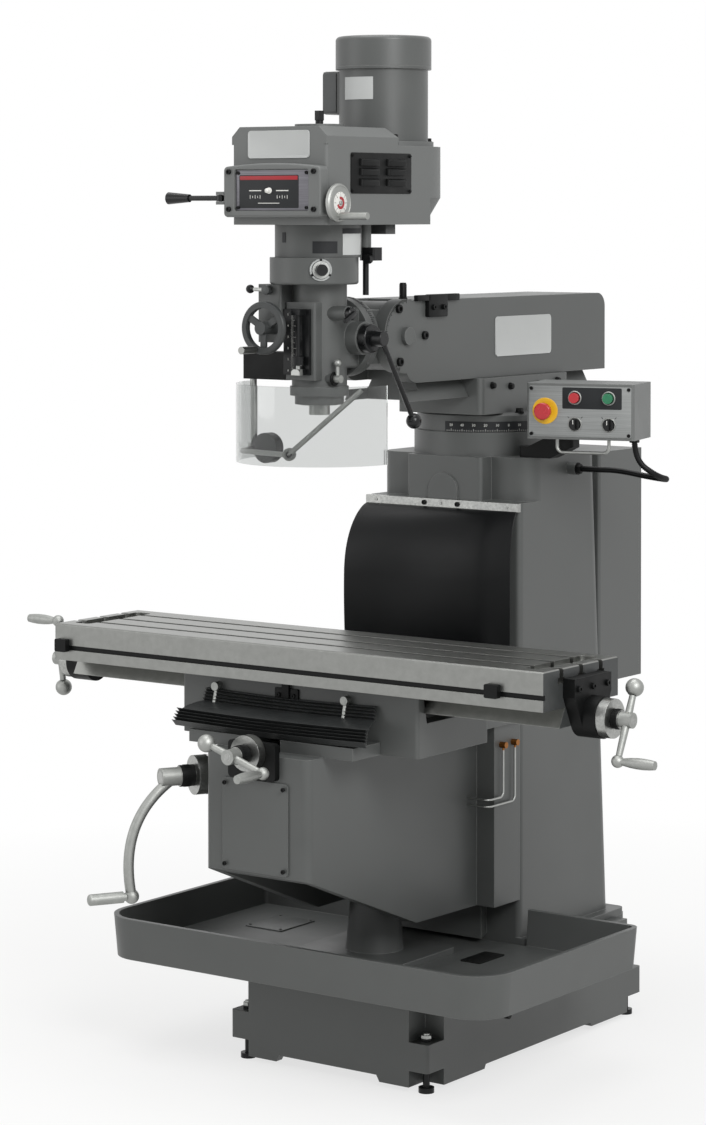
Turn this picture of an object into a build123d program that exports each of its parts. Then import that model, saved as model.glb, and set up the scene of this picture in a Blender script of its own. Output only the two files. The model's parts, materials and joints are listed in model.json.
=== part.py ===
from build123d import *
from math import cos, radians, sin, tan
import os

os.makedirs("parts", exist_ok=True)

# Knee and column milling machine, in millimetres. X runs along the table to the operator's right,
# Y from the operator into the machine and Z up. The origin is on the floor under the base.

# Fits
running_gap = 0.05
slide_gap = 0.3
thread_gap = 0.1

# Base casting
base_width = 560.0
base_front = -523.0
base_rear = 410.0
base_clearance = 13.0
base_height = 245.0
base_wall = 22.0
base_deck = 26.0
base_rib = 90.0
base_corner = 8.0
arch_height = 15.0
arch_slope = 60.0
foot_length = 133.0
side_arch_length = 470.0
side_arch_height = 10.0
recess_width = 52.0
recess_length = 66.0
lug_bottom = 51.0
lug_height = 65.0

# Coolant tray
tray_width = 1100.0
tray_front = -688.0
tray_rear = -42.0
tray_sink = 8.0
tray_height = 97.0
tray_floor = 13.0
tray_wall = 12.0
tray_corner = 95.0
tray_rear_corner = 28.0
tray_draft = 5.0

# Levelling screws
levelling_radius = 8.0
levelling_foot = 18.0
levelling_foot_height = 12.0
levelling_above = 18.0
levelling_hex = 13.0
levelling_hex_height = 14.0

# Elevating screw and its nut
screw_y = -335.0
screw_radius = 19.0
screw_start = 25.0
well_radius = 30.0
nut_flange_x = 300.0
nut_flange_y = 250.0
nut_flange_height = 14.0
nut_flange_corner = 22.0
nut_base_radius = 68.0
nut_top_radius = 52.0
nut_height = 190.0

# Column
column_width = 440.0
column_front = -50.0
column_rear_low = 371.0
column_rear_top = 300.0
column_height = 1155.0
column_wall = 28.0
column_front_corner = 14.0
column_rear_corner = 40.0
foot_height = 17.0
foot_reach = 25.0
foot_rear_reach = 22.0
foot_corner = 20.0
ridge_root = 250.0
ridge_tip = 300.0
ridge_depth = 60.0
ridge_below_strip = 74.0
shoulder_height = 104.0
shoulder_depth = 45.0
shoulder_corner = 45.0
pad_width = 216.0
pad_corner = 10.0
arch_radius = 42.0
arch_proud = 5.0
ring_radius = 170.0
ring_height = 57.0
turret_y = 125.0

# Rubber apron and its clamping strip
strip_length = 442.0
strip_thickness = 12.0
strip_height = 20.0
apron_width = 434.0
apron_thickness = 5.0
apron_bulge = 98.0
apron_foot = 86.0

# Electrical cabinet
cabinet_width = 400.0
cabinet_depth = 190.0
cabinet_height = 573.0
cabinet_rise = 575.0
cabinet_wall = 4.0
cabinet_corner = 8.0
cabinet_pad_width = 360.0
cabinet_pad_height = 555.0
cabinet_pad_rise = 10.0
cabinet_front = 340.0
door_thickness = 15.0
door_edge = 4.0
barrel_radius = 5.0
barrel_out = 3.0
barrel_length = 40.0
barrel_inset = 60.0

# Operator's pendant
pendant_angle = 15.0
box_x = 263.0
box_y = -90.0
box_rise = 55.0
box_width = 261.0
box_depth = 150.0
box_height = 131.0
box_corner = 7.0
arm_start = 168.0
arm_reach = 150.0
arm_y = 42.0
arm_width = 40.0
arm_height = 26.0
arm_corner = 8.0
arm_pad_length = 62.0
wire_radius = 4.0
wire_start = 68.0
wire_length = 126.0
wire_drop = 32.0
wire_back = 24.0
wire_bend = 14.0

# Push buttons and selectors
button_radius = 12.0
button_height = 10.0
button_lift = 5.5
stem_radius = 6.0
stem_length = 18.0
hole_depth = 28.0
stop_radius = 20.0
stop_height = 13.0
stop_neck = 11.0
stop_edge = 4.0
stop_lift = 16.0
selector_radius = 13.0
selector_height = 9.0
selector_grip = 9.0
selector_grip_height = 10.0
selector_grip_length = 23.0
stop_across = 46.0
stop_up = 66.0
buttons_across = 119.0
selectors_apart = 82.0
buttons_up = 98.0
selectors_up = 36.0

# Conduit from the pendant to the column
conduit_radius = 7.5
conduit_across = 230.0
conduit_deep = 114.0
gland_radius = 15.0
gland_length = 24.0
conduit_end_y = 168.0
conduit_end_drop = 34.0

# Turret
turret_radius = 163.0
turret_disc = 46.0
turret_chamfer = 6.0
block_width = 245.0
block_length = 390.0
block_height = 87.0
block_edge = 14.0

# Ram
ram_width = 210.0
ram_height = 192.0
ram_rear_reach = 395.0
ram_rear_round = 34.0
ram_dovetail_root = 124.0
ram_dovetail_tip = 170.0
ram_dovetail_height = 45.0
ram_dovetail_front = 462.0
ram_dovetail_rear = 355.0
ram_bore_width = 150.0
ram_bore_height = 112.0
ram_bore_length = 640.0
ram_bore_corner = 16.0
nod_reach = 482.0
nod_rise = 109.7
nose_radius = 86.0
nose_lower_radius = 50.0
nose_lower_back = 45.0
slot_width = 144.0
slot_back = 95.0
pin_radius = 16.0
pin_cap_radius = 21.0
pin_cap = 11.0

# Knuckle between the ram and the head
knuckle_radius = 80.0
knuckle_neck = 62.0
knuckle_reach = 108.0
disc_radius = 92.0
disc_thickness = 19.0

# Head castings
spindle_reach = 195.0
flange_thickness = 22.0
housing_radius = 63.0
housing_rise = 123.0
housing_drop = 109.0
skirt_radius = 67.0
skirt_height = 21.0
collar_radius = 56.0
collar_height = 20.0
channel_width = 84.0
channel_front = 74.0
channel_start = 16.0
channel_height = 176.0
back_height = 138.0
back_corner = 12.0
pinion_back = 47.0
pinion_boss_radius = 38.0
pinion_boss_reach = 95.0
clutch_boss_radius = 17.0
clutch_boss_reach = 98.0
clutch_boss_rise = 58.0
clutch_boss_front = 22.0
feed_block_right = -44.0
feed_block_width = 66.0
feed_block_front = 88.0
feed_block_depth = 80.0
feed_block_height = 132.0
gear_case_radius = 101.0
gear_case_height = 61.0
gear_case_front = 20.0
back_gear_radius = 99.0
back_gear_height = 74.0
back_gear_front = 4.0
housing_fillet = 6.0
drawbar_hole = 20.0

# Belt housing and motor
belt_half_width = 133.0
belt_front = 152.0
belt_height = 180.0
belt_corner = 10.0
belt_undercut = 36.0
belt_undercut_height = 62.0
cover_length = 276.0
cover_height = 40.0
cover_chamfer = 22.0
cover_boss_radius = 56.0
cover_boss_height = 8.0
motor_back = 252.0
motor_foot_radius = 117.0
motor_foot_height = 12.0
motor_radius = 104.0
motor_height = 187.0
motor_rim_radius = 112.0
motor_rim_height = 7.0
terminal_width = 84.0
terminal_reach = 146.0
terminal_height = 98.0
terminal_rise = 79.0
terminal_edge = 6.0
fan_radius = 112.0
fan_height = 70.0
fan_wall = 3.0
fan_round = 10.0

# Speed panel
panel_width = 272.0
panel_depth = 29.0
panel_height = 121.0
panel_arch = 8.0
panel_rise = 17.0
panel_corner = 10.0
panel_edge = 6.0
panel_recess_width = 208.0
panel_recess_height = 94.0
panel_recess = 5.0
panel_recess_corner = 6.0
ear_reach = 18.0
ear_radius = 11.0
ear_thickness = 7.0
ear_gap = 15.0
ear_rise = 43.0

# Quill and spindle
quill_radius = 43.0
quill_travel = 127.0
quill_length = 240.0
quill_show = 2.0
shaft_radius = 20.0
nose_radius_spindle = 23.8
nose_length = 22.0
socket_mouth = 15.875
socket_bore = 12.065
socket_taper = 25.8
socket_depth = 102.0
shaft_length = 262.0
drawbar_radius = 9.0
drawbar_hex = 11.5
drawbar_hex_height = 22.0
drawbar_above = 9.0

# Feed lever, handwheel and small head controls
lever_hub_radius = 33.0
lever_hub_length = 22.0
lever_hub_edge = 4.0
lever_nose_radius = 18.0
lever_nose_length = 32.0
lever_nose_edge = 3.0
lever_shaft_radius = 14.0
lever_shaft_length = 40.0
lever_rod_radius = 6.0
lever_rod_plane = 45.0
lever_length = 232.0
lever_angle = -56.4
lever_ball = 18.0
wheel_x = -61.0
wheel_rise = 25.0
wheel_radius = 53.0
wheel_rim = 7.5
wheel_out = 40.0
wheel_web = 7.0
wheel_hub_radius = 15.0
wheel_hub_length = 30.0
wheel_shaft_radius = 8.0
wheel_shaft_length = 30.0
wheel_spoke = 15.0
wheel_edge = 6.0
wheel_grip_neck = 5.0
wheel_grip_radius = 8.5
wheel_grip_gap = 2.0
wheel_grip_length = 58.0
wheel_grip_angle = -112.0
range_rod_radius = 6.0
range_rod_length = 90.0
range_knob_length = 61.0
range_knob_small = 9.0
range_knob_large = 14.0
range_hub_radius = 10.0
range_pin_radius = 4.0
speed_wheel_radius = 38.0
speed_wheel_edge = 3.0
speed_wheel_clear = 14.0
speed_wheel_face = 10.0
speed_hub_radius = 12.0
speed_shaft_radius = 8.0
speed_shaft_length = 24.0
speed_wheel_back = 14.0
speed_wheel_rise = 49.0
speed_grip_inset = 9.0
speed_grip_radius = 8.0
speed_grip_length = 74.0
lock_forward = 30.0
lock_drop = 90.0
lock_hub_radius = 9.0
lock_hub_length = 20.0
lock_rod_radius = 4.5
lock_rod_length = 36.0
lock_ball = 9.0
lock_stud_radius = 6.0
lock_stud_length = 16.0
lock_boss_radius = 13.0
knob_angle = -45.0
knob_flange_radius = 20.0
knob_flange_height = 6.0
knob_radius = 13.0
knob_height = 18.0
knob_stud_radius = 6.0
knob_stud_length = 15.0
knob_boss_radius = 23.0
knob_boss_depth = 10.0
knob_rise = 34.0
trip_rise = 110.0
trip_hub_radius = 10.0
trip_hub_length = 14.0
trip_rod_radius = 4.5
trip_rod_length = 48.0
trip_rod_angle = 178.0
trip_ball = 10.0
trip_stud_radius = 5.0
trip_stud_length = 14.0
trip_inset = 33.0

# Depth stop and brake linkage
scale_left = -42.0
scale_width = 73.0
scale_thickness = 6.0
scale_start = 28.0
scale_height = 149.0
stop_screw_x = 8.0
stop_screw_radius = 5.0
stop_lug_width = 24.0
stop_lug_depth = 22.0
stop_lug_height = 14.0
stop_nut_radius = 13.0
stop_nut_height = 20.0
stop_nut_rise = 22.0
link_x = 69.0
link_setback = 85.0
link_radius = 12.5
link_drop = 52.0
clamp_width = 46.0
clamp_depth = 36.0
clamp_height = 30.0
clamp_shift = 12.0
clamp_corner = 5.0
link_knob_x = 92.0
link_knob_radius = 11.0
link_knob_length = 12.0
link_knob_drop = 78.0
link_rod_radius = 7.0
link_rod_length = 79.0

# Chip guard
post_gx = -168.0
post_gy = 28.0
guard_block_width = 132.0
guard_block_depth = 40.0
guard_block_height = 64.0
guard_block_bottom = 96.0
guard_block_edge = 6.0
guard_block_over = 17.0
guard_post_radius = 8.0
guard_post_length = 172.0
guard_knob_radius = 34.0
guard_knob_length = 26.0
guard_knob_across = 42.0
guard_arm_radius = 6.0
guard_arm_rise = 26.0
guard_arm_bend = 24.0
guard_clamp = 20.0
shield_radius = 190.0
shield_thickness = 4.0
shield_height = 178.0
shield_top_drop = 102.0

# Knee
knee_front = -790.0
knee_front_width = 290.0
knee_rear_width = 340.0
knee_bottom = 354.0
knee_chin_rise = 159.0
knee_slope_rear = -395.0
knee_height = 428.0
knee_side_radius = 20.0
way_width = 460.0
way_front = -740.0
way_height = 28.0
flange_width = 440.0
flange_depth = 110.0
cavity_width = 240.0
cavity_front = -760.0
cavity_rear = -200.0
roof_thickness = 65.0
screw_boss_radius = 44.0
screw_boss_height = 55.0
channel_half = 30.0
channel_depth = 53.0
channel_rear = -240.0
knee_cover_width = 184.0
knee_cover_rise = 5.0
knee_cover_height = 206.0
knee_cover_thickness = 4.0
knee_cover_corner = 9.0

# Elevating shaft and crank
shaft_drop = 107.0
shaft_swing = 30.0
knee_boss_radius = 40.0
knee_boss_reach = 420.0
lift_shaft_radius = 14.0
lift_shaft_start = 62.0
lift_dial_radius = 45.0
lift_dial_start = 425.0
lift_dial_length = 30.0
lift_clutch_radius = 23.0
lift_clutch_length = 35.0
lift_hub_radius = 21.0
lift_hub_length = 45.0
lift_reach = 265.0
lift_dish = 92.0
lift_arm_radius = 12.0
lift_shoulder = 70.0
lift_shoulder_out = 84.0
lift_eye = 17.0
lift_grip_length = 104.0
lift_grip_radius = 13.0
lift_grip_neck = 9.0
lift_grip_start = 21.0
lift_grip_edge = 6.0

# Cross feed
cross_drop = 21.0
cross_radius = 11.0
cross_rear = -250.0
bracket_width = 132.0
bracket_over = 2.0
bracket_height = 84.0
bracket_thickness = 16.0
bracket_corner = 10.0
cross_dial_radius = 40.0
cross_dial_length = 24.0
cross_clutch_radius = 19.0
cross_clutch_length = 33.0
cross_stub_radius = 9.0

# Oil lines on the knee
oil_radius = 2.6
oil_out = 7.0
oil_drop = 75.0
oil_front_y = -133.0
oil_apart = 50.0
oil_fall = 122.0
oil_low_step = 16.0
oil_turn_y = -196.0
oil_bend = 14.0
fitting_radius = 7.5
fitting_length = 16.0

# Bellows at the front of the saddle's ways
bellows_width = 540.0
bellows_depth = 50.0
bellows_height = 28.0
bellows_front = -752.0

# Saddle
saddle_width = 664.0
saddle_front = -637.0
saddle_rear = -355.0
saddle_height = 113.4
saddle_skirt = 28.0
saddle_edge = 8.0
relief_depth = 42.0
relief_front = 20.0
relief_drop = 66.0
relief_bottom = 120.0
relief_top = 150.0
cross_nut_half = 24.0
cross_nut_length = 60.0
cross_nut_depth = 46.0
cross_nut_y = -496.0
table_nut_half = 20.0
table_nut_length = 80.0
table_nut_height = 40.0

# Saddle lock levers
lock_left_x = -224.0
lock_right_x = 143.0
table_lock_drop = 27.0
table_lock_hub = 10.0
table_lock_hub_length = 18.0
table_lock_rod = 4.5
table_lock_length = 44.0
table_lock_lean = 12.0
table_lock_ball = 8.0
table_lock_stud = 6.0
table_lock_stud_length = 15.0

# Table
table_length = 1372.0
table_front = -680.0
table_width = 305.0
table_thickness = 86.0
table_edge = 3.0
dovetail_root = 132.0
dovetail_tip = 176.0
dovetail_height = 42.0
trough_width = 52.0
trough_rise = 3.0
slot_neck = 16.0
slot_neck_depth = 19.0
slot_tee = 29.0
slot_tee_height = 13.0
slot_pitch = 80.0
groove_drop = 50.0
groove_height = 11.0
groove_depth = 8.0
well_length = 46.0
well_inset = 28.0
well_depth = 12.0
well_margin = 34.0
well_corner = 12.0

# Table screw, brackets and cranks
lead_rise = 18.0
lead_radius = 14.0
end_bracket_width = 150.0
end_bracket_top = 22.0
end_bracket_straight = 40.0
end_bracket_thickness = 30.0
end_bearing_radius = 46.0
end_bearing_length = 30.0
table_dial_radius = 43.0
table_dial_length = 24.0
table_clutch_radius = 20.0
table_clutch_length = 16.0
lead_stub_radius = 9.0
crank_hub_radius = 17.0
crank_hub_length = 30.0
crank_reach = 92.0
crank_ball_reach = 73.0
crank_arm_radius = 9.0
crank_eye_radius = 14.0
crank_ball_radius = 20.0
crank_grip_length = 92.0
crank_grip_radius = 12.0
crank_grip_neck = 8.0
crank_grip_end = 9.6
crank_arm_tip = 6.8
right_crank_angle = -115.0
left_crank_angle = 83.0
cross_crank_angle = -18.0

# Trip dogs on the table's front groove
dog_left_x = -660.0
dog_right_x = 560.0
dog_length = 34.0
dog_height = 30.0
dog_out = 14.0
dog_tongue = 7.0
dog_corner = 4.0

# Derived heights and places
tray_bottom = base_height - tray_sink
tray_deck = tray_bottom + tray_floor
tray_rim = tray_bottom + tray_height
column_top = base_height + column_height
shoulder_bottom = column_top - shoulder_height
shoulder_back = column_front + shoulder_depth
foot_top = base_height + foot_height
ridge_front = column_front - ridge_depth
ridge_top = shoulder_bottom - strip_height - ridge_below_strip
turret_bottom = column_top + ring_height
block_bottom = turret_bottom + turret_disc
block_top = block_bottom + block_height
ram_bottom = block_top + slide_gap
ram_top = ram_bottom + ram_height
ram_rear = turret_y + ram_rear_reach
nod_y = turret_y - nod_reach
nod_z = ram_bottom + nod_rise
tilt_face = nod_y - knuckle_reach
spindle_y = nod_y - spindle_reach
housing_bottom = nod_z - housing_drop
housing_top = nod_z + housing_rise
skirt_bottom = housing_bottom - skirt_height
collar_bottom = skirt_bottom - collar_height
gear_top = housing_top + gear_case_height
belt_bottom = gear_top + back_gear_height
belt_top = belt_bottom + belt_height
cover_top = belt_top + cover_height
motor_y = spindle_y + motor_back
motor_top = belt_top + motor_height
belt_face = spindle_y - belt_front
box_bottom = column_top + box_rise
pinion_y = spindle_y + pinion_back
knee_side_top = knee_bottom + knee_height
knee_chin = knee_bottom + knee_chin_rise
way_top = knee_side_top + way_height
cavity_roof = way_top - roof_thickness
shaft_height = way_top - shaft_drop
cross_height = way_top - cross_drop
saddle_bottom = way_top + slide_gap
saddle_top = saddle_bottom + saddle_height
table_bottom = saddle_top + slide_gap
table_top = table_bottom + table_thickness
dovetail_bottom = table_bottom - dovetail_height
lead_height = dovetail_bottom + lead_rise
table_y = table_front + table_width / 2
flange_rear = column_front - slide_gap
flange_front = flange_rear - flange_depth
table_lock_height = saddle_top - table_lock_drop

# Base: a box casting open to the floor in two bays, with the tray cast on its front
base_middle = (base_front + base_rear) / 2
base_length = base_rear - base_front
lug_top = lug_bottom + lug_height
with BuildPart() as base:
    with BuildSketch(Plane.XY.offset(base_clearance)):
        with Locations((0, base_middle)):
            Rectangle(base_width, base_length)
    extrude(amount=base_height - base_clearance)
    fillet(base.edges().filter_by(Axis.Z), base_corner)
    with BuildSketch():
        with Locations((0, base_middle)):
            Rectangle(base_width - 2 * base_wall, base_length - 2 * base_wall)
            with GridLocations(base_width, base_length, 2, 2):
                Rectangle(
                    2 * (recess_width + base_wall),
                    2 * (recess_length + base_wall),
                    mode=Mode.SUBTRACT,
                )
        Rectangle(base_width, base_rib, mode=Mode.SUBTRACT)
    extrude(amount=base_height - base_deck, mode=Mode.SUBTRACT)
    with BuildSketch(Plane.XY.offset(lug_top)):
        with Locations((0, base_middle)):
            with GridLocations(base_width, base_length, 2, 2):
                Rectangle(2 * recess_width, 2 * recess_length)
    extrude(amount=base_height - lug_top, mode=Mode.SUBTRACT)
    with BuildSketch():
        with Locations((0, base_middle)):
            with GridLocations(base_width, base_length, 2, 2):
                Rectangle(2 * recess_width, 2 * recess_length)
    extrude(amount=lug_bottom, mode=Mode.SUBTRACT)
    with BuildSketch(Plane.XZ.offset(-base_front)):
        with Locations((0, base_clearance)):
            Trapezoid(
                base_width - 2 * foot_length, arch_height, arch_slope, align=(Align.CENTER, Align.MIN)
            )
    extrude(amount=-base_length, mode=Mode.SUBTRACT)
    with BuildSketch(Plane.YZ):
        with Locations((base_middle, base_clearance)):
            Trapezoid(side_arch_length, side_arch_height, arch_slope, align=(Align.CENTER, Align.MIN))
    extrude(amount=base_width / 2, both=True, mode=Mode.SUBTRACT)
    with BuildSketch(Plane.XY.offset(lug_bottom)):
        with Locations((0, base_middle)):
            with GridLocations(base_width - recess_width, base_length - recess_length, 2, 2):
                Circle(levelling_radius + thread_gap)
    extrude(amount=lug_height, mode=Mode.SUBTRACT)
    with BuildSketch(Plane.XY.offset(tray_rim)) as pan:
        with Locations((0, (tray_front + tray_rear) / 2)):
            Rectangle(tray_width, tray_rear - tray_front)
        fillet(pan.vertices().group_by(Axis.Y)[0], tray_corner)
        fillet(pan.vertices().group_by(Axis.Y)[-1], tray_rear_corner)
    extrude(amount=-tray_height, taper=tray_draft)
    with BuildSketch(Plane.XY.offset(tray_rim)) as basin:
        with Locations((0, (tray_front + tray_rear) / 2)):
            Rectangle(tray_width - 2 * tray_wall, tray_rear - tray_front - 2 * tray_wall)
        fillet(basin.vertices().group_by(Axis.Y)[0], tray_corner - tray_wall)
        fillet(basin.vertices().group_by(Axis.Y)[-1], tray_rear_corner - tray_wall)
    extrude(amount=tray_floor - tray_height, taper=tray_draft, mode=Mode.SUBTRACT)
    with BuildSketch(Plane.XY.offset(base_height)):
        with Locations((0, tray_rear)):
            Rectangle(column_width + 2 * foot_reach + 2, 4 * tray_wall)
    extrude(amount=tray_height, mode=Mode.SUBTRACT)
    with BuildSketch(Plane.XY.offset(tray_deck)):
        with Locations((0, screw_y)):
            Circle(well_radius)
    extrude(amount=-base_height, mode=Mode.SUBTRACT)
base.part.label = "base"
export_step(base.part, "parts/base.step")

# Levelling screws: four alike, each with a foot on the floor
with BuildPart() as levelling_screws:
    with BuildSketch():
        with Locations((0, base_middle)):
            with GridLocations(base_width - recess_width, base_length - recess_length, 2, 2):
                Circle(levelling_foot)
    extrude(amount=levelling_foot_height)
    with BuildSketch():
        with Locations((0, base_middle)):
            with GridLocations(base_width - recess_width, base_length - recess_length, 2, 2):
                Circle(levelling_radius)
    extrude(amount=lug_top + levelling_above)
    with BuildSketch(Plane.XY.offset(lug_top)):
        with Locations((0, base_middle)):
            with GridLocations(base_width - recess_width, base_length - recess_length, 2, 2):
                RegularPolygon(levelling_hex, 6)
    extrude(amount=levelling_hex_height)
levelling_screws.part.label = "levelling_screws"
export_step(levelling_screws.part, "parts/levelling_screws.step")

# Elevating nut: a tapered pedestal on the tray floor with the nut's bore
with BuildPart() as elevating_nut:
    with BuildSketch(Plane.XY.offset(tray_deck)) as nut_foot:
        with Locations((0, screw_y)):
            RectangleRounded(nut_flange_x, nut_flange_y, nut_flange_corner)
    extrude(amount=nut_flange_height)
    with BuildSketch(Plane.XY.offset(tray_deck + nut_flange_height)):
        with Locations((0, screw_y)):
            Circle(nut_base_radius)
    with BuildSketch(Plane.XY.offset(tray_deck + nut_height)):
        with Locations((0, screw_y)):
            Circle(nut_top_radius)
    loft()
    with BuildSketch(Plane.XY.offset(tray_deck)):
        with Locations((0, screw_y)):
            Circle(screw_radius + slide_gap)
    extrude(amount=nut_height, mode=Mode.SUBTRACT)
elevating_nut.part.label = "elevating_nut"
export_step(elevating_nut.part, "parts/elevating_nut.step")

# Column: a tapered box casting with the knee's dovetail ridge and the turret's seat
with BuildPart() as column:
    with BuildSketch(Plane.YZ):
        with BuildLine():
            Polyline(
                (column_front, base_height),
                (column_rear_low, base_height),
                (column_rear_top, column_top),
                (column_front, column_top),
                close=True,
            )
        make_face()
    extrude(amount=column_width / 2, both=True)
    fillet(column.faces().sort_by(Axis.Y)[-1].edges().filter_by(Axis.X, reverse=True), column_rear_corner)
    fillet(column.faces().sort_by(Axis.Y)[0].edges().filter_by(Axis.Z), column_front_corner)
    with BuildSketch(Plane.XY.offset(shoulder_bottom)):
        with Locations((0, column_front)):
            with GridLocations(column_width, 0, 2, 1):
                Rectangle(column_width - pad_width, 2 * shoulder_depth)
    extrude(amount=shoulder_height, mode=Mode.SUBTRACT)
    shoulder_edges = (
        column.edges()
        .filter_by(Axis.Z)
        .filter_by_position(Axis.Y, shoulder_back - 1, shoulder_back + 1)
        .sort_by(Axis.X)
    )
    fillet([shoulder_edges[0], shoulder_edges[-1]], shoulder_corner)
    pad_edges = (
        column.edges()
        .filter_by(Axis.Z)
        .filter_by_position(Axis.Y, column_front - 1, column_front + 1)
        .filter_by_position(Axis.Z, shoulder_bottom, column_top)
    )
    fillet(pad_edges, pad_corner)
    with BuildSketch(Plane.YZ):
        with BuildLine():
            Polyline(
                (column_front + column_wall, base_height),
                (column_rear_low - column_wall, base_height),
                (column_rear_top - column_wall, column_top - column_wall),
                (shoulder_back + column_wall, column_top - column_wall),
                (shoulder_back + column_wall, shoulder_bottom - column_wall),
                (column_front + column_wall, shoulder_bottom - column_wall),
                close=True,
            )
        make_face()
    extrude(amount=column_width / 2 - column_wall, both=True, mode=Mode.SUBTRACT)
    with BuildSketch(Plane.XY.offset(base_height)):
        with Locations((0, (column_front + column_rear_low + foot_rear_reach) / 2)):
            RectangleRounded(
                column_width + 2 * foot_reach, column_rear_low + foot_rear_reach - column_front, foot_corner
            )
        with Locations((0, (column_front + column_rear_low) / 2)):
            Rectangle(
                column_width - 2 * column_wall,
                column_rear_low - column_front - 2 * column_wall,
                mode=Mode.SUBTRACT,
            )
    extrude(amount=foot_height)
    with BuildSketch(Plane.XY.offset(foot_top)):
        with BuildLine():
            Polyline(
                (-ridge_root / 2, column_front),
                (-ridge_tip / 2, ridge_front),
                (ridge_tip / 2, ridge_front),
                (ridge_root / 2, column_front),
                close=True,
            )
        make_face()
    extrude(amount=ridge_top - foot_top)
    with BuildSketch(Plane.XZ.offset(-column_front)):
        with Locations((0, shoulder_bottom + arch_radius / 2)):
            Circle(arch_radius)
            Rectangle(2 * arch_radius, arch_radius, align=(Align.CENTER, Align.MAX))
        with Locations((0, shoulder_bottom)):
            Rectangle(3 * arch_radius, 3 * arch_radius, align=(Align.CENTER, Align.MAX), mode=Mode.SUBTRACT)
    extrude(amount=arch_proud)
    with BuildSketch(Plane.XY.offset(column_top)):
        with Locations((0, turret_y)):
            Circle(ring_radius)
    extrude(amount=ring_height)
    with BuildSketch(Plane.XZ.offset(-cabinet_front)):
        with Locations((0, base_height + cabinet_rise + cabinet_pad_rise)):
            Rectangle(cabinet_pad_width, cabinet_pad_height, align=(Align.CENTER, Align.MIN))
    extrude(amount=cabinet_front - column_rear_top + column_wall)
    with BuildSketch(Plane.YZ.offset(column_width / 2)):
        with Locations((conduit_end_y, column_top - conduit_end_drop)):
            Circle(gland_radius)
    extrude(amount=gland_length)
column.part.label = "column"
export_step(column.part, "parts/column.step")

# Strip that clamps the apron's upper edge to the column
with BuildPart() as apron_strip:
    with BuildSketch(Plane.XZ.offset(-column_front)):
        with Locations((0, shoulder_bottom - strip_height)):
            Rectangle(strip_length, strip_height, align=(Align.CENTER, Align.MIN))
    extrude(amount=strip_thickness)
apron_strip.part.label = "apron_strip"
export_step(apron_strip.part, "parts/apron_strip.step")

# Rubber apron hanging from the strip to the back of the knee
apron_top = shoulder_bottom - strip_height
apron_back = column_front - strip_thickness
apron_span = apron_top - way_top
with BuildPart() as column_apron:
    with BuildSketch(Plane.YZ):
        with BuildLine():
            outer = Spline(
                (apron_back, apron_top),
                (apron_back - 0.72 * apron_bulge, apron_top - 0.11 * apron_span),
                (apron_back - apron_bulge, apron_top - 0.4 * apron_span),
                (apron_back - apron_foot, way_top),
            )
            inner = Spline(
                (apron_back + apron_thickness, apron_top),
                (apron_back - 0.72 * apron_bulge + apron_thickness, apron_top - 0.11 * apron_span),
                (apron_back - apron_bulge + apron_thickness, apron_top - 0.4 * apron_span),
                (apron_back - apron_foot + apron_thickness, way_top),
            )
            Line(outer @ 0, inner @ 0)
            Line(outer @ 1, inner @ 1)
        make_face()
    extrude(amount=apron_width / 2, both=True)
column_apron.part.label = "column_apron"
export_step(column_apron.part, "parts/column_apron.step")

# Electrical cabinet: an open-backed steel box with its half of two hinges
cabinet_bottom = base_height + cabinet_rise
cabinet_rear = cabinet_front + cabinet_depth
hinge_x = -cabinet_width / 2 - barrel_out
lower_barrel = cabinet_bottom + barrel_inset
upper_barrel = cabinet_bottom + cabinet_height - barrel_inset - barrel_length
with BuildPart() as electrical_cabinet:
    with BuildSketch(Plane.XZ.offset(-cabinet_front)):
        with Locations((0, cabinet_bottom)):
            Rectangle(cabinet_width, cabinet_height, align=(Align.CENTER, Align.MIN))
    extrude(amount=-cabinet_depth)
    fillet(electrical_cabinet.faces().sort_by(Axis.Y)[0].edges(), cabinet_corner)
    with BuildSketch(Plane.XZ.offset(-cabinet_front - cabinet_wall)):
        with Locations((0, cabinet_bottom + cabinet_wall)):
            Rectangle(
                cabinet_width - 2 * cabinet_wall,
                cabinet_height - 2 * cabinet_wall,
                align=(Align.CENTER, Align.MIN),
            )
    extrude(amount=-cabinet_depth, mode=Mode.SUBTRACT)
    with Locations((hinge_x, cabinet_rear, lower_barrel), (hinge_x, cabinet_rear, upper_barrel)):
        Cylinder(
            barrel_radius + slide_gap,
            barrel_length / 2,
            align=(Align.CENTER, Align.CENTER, Align.MIN),
            mode=Mode.SUBTRACT,
        )
    with Locations(
        (hinge_x, cabinet_rear, lower_barrel + barrel_length / 2),
        (hinge_x, cabinet_rear, upper_barrel + barrel_length / 2),
    ):
        Cylinder(barrel_radius, barrel_length / 2, align=(Align.CENTER, Align.CENTER, Align.MIN))
electrical_cabinet.part.label = "electrical_cabinet"
export_step(electrical_cabinet.part, "parts/electrical_cabinet.step")

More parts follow.
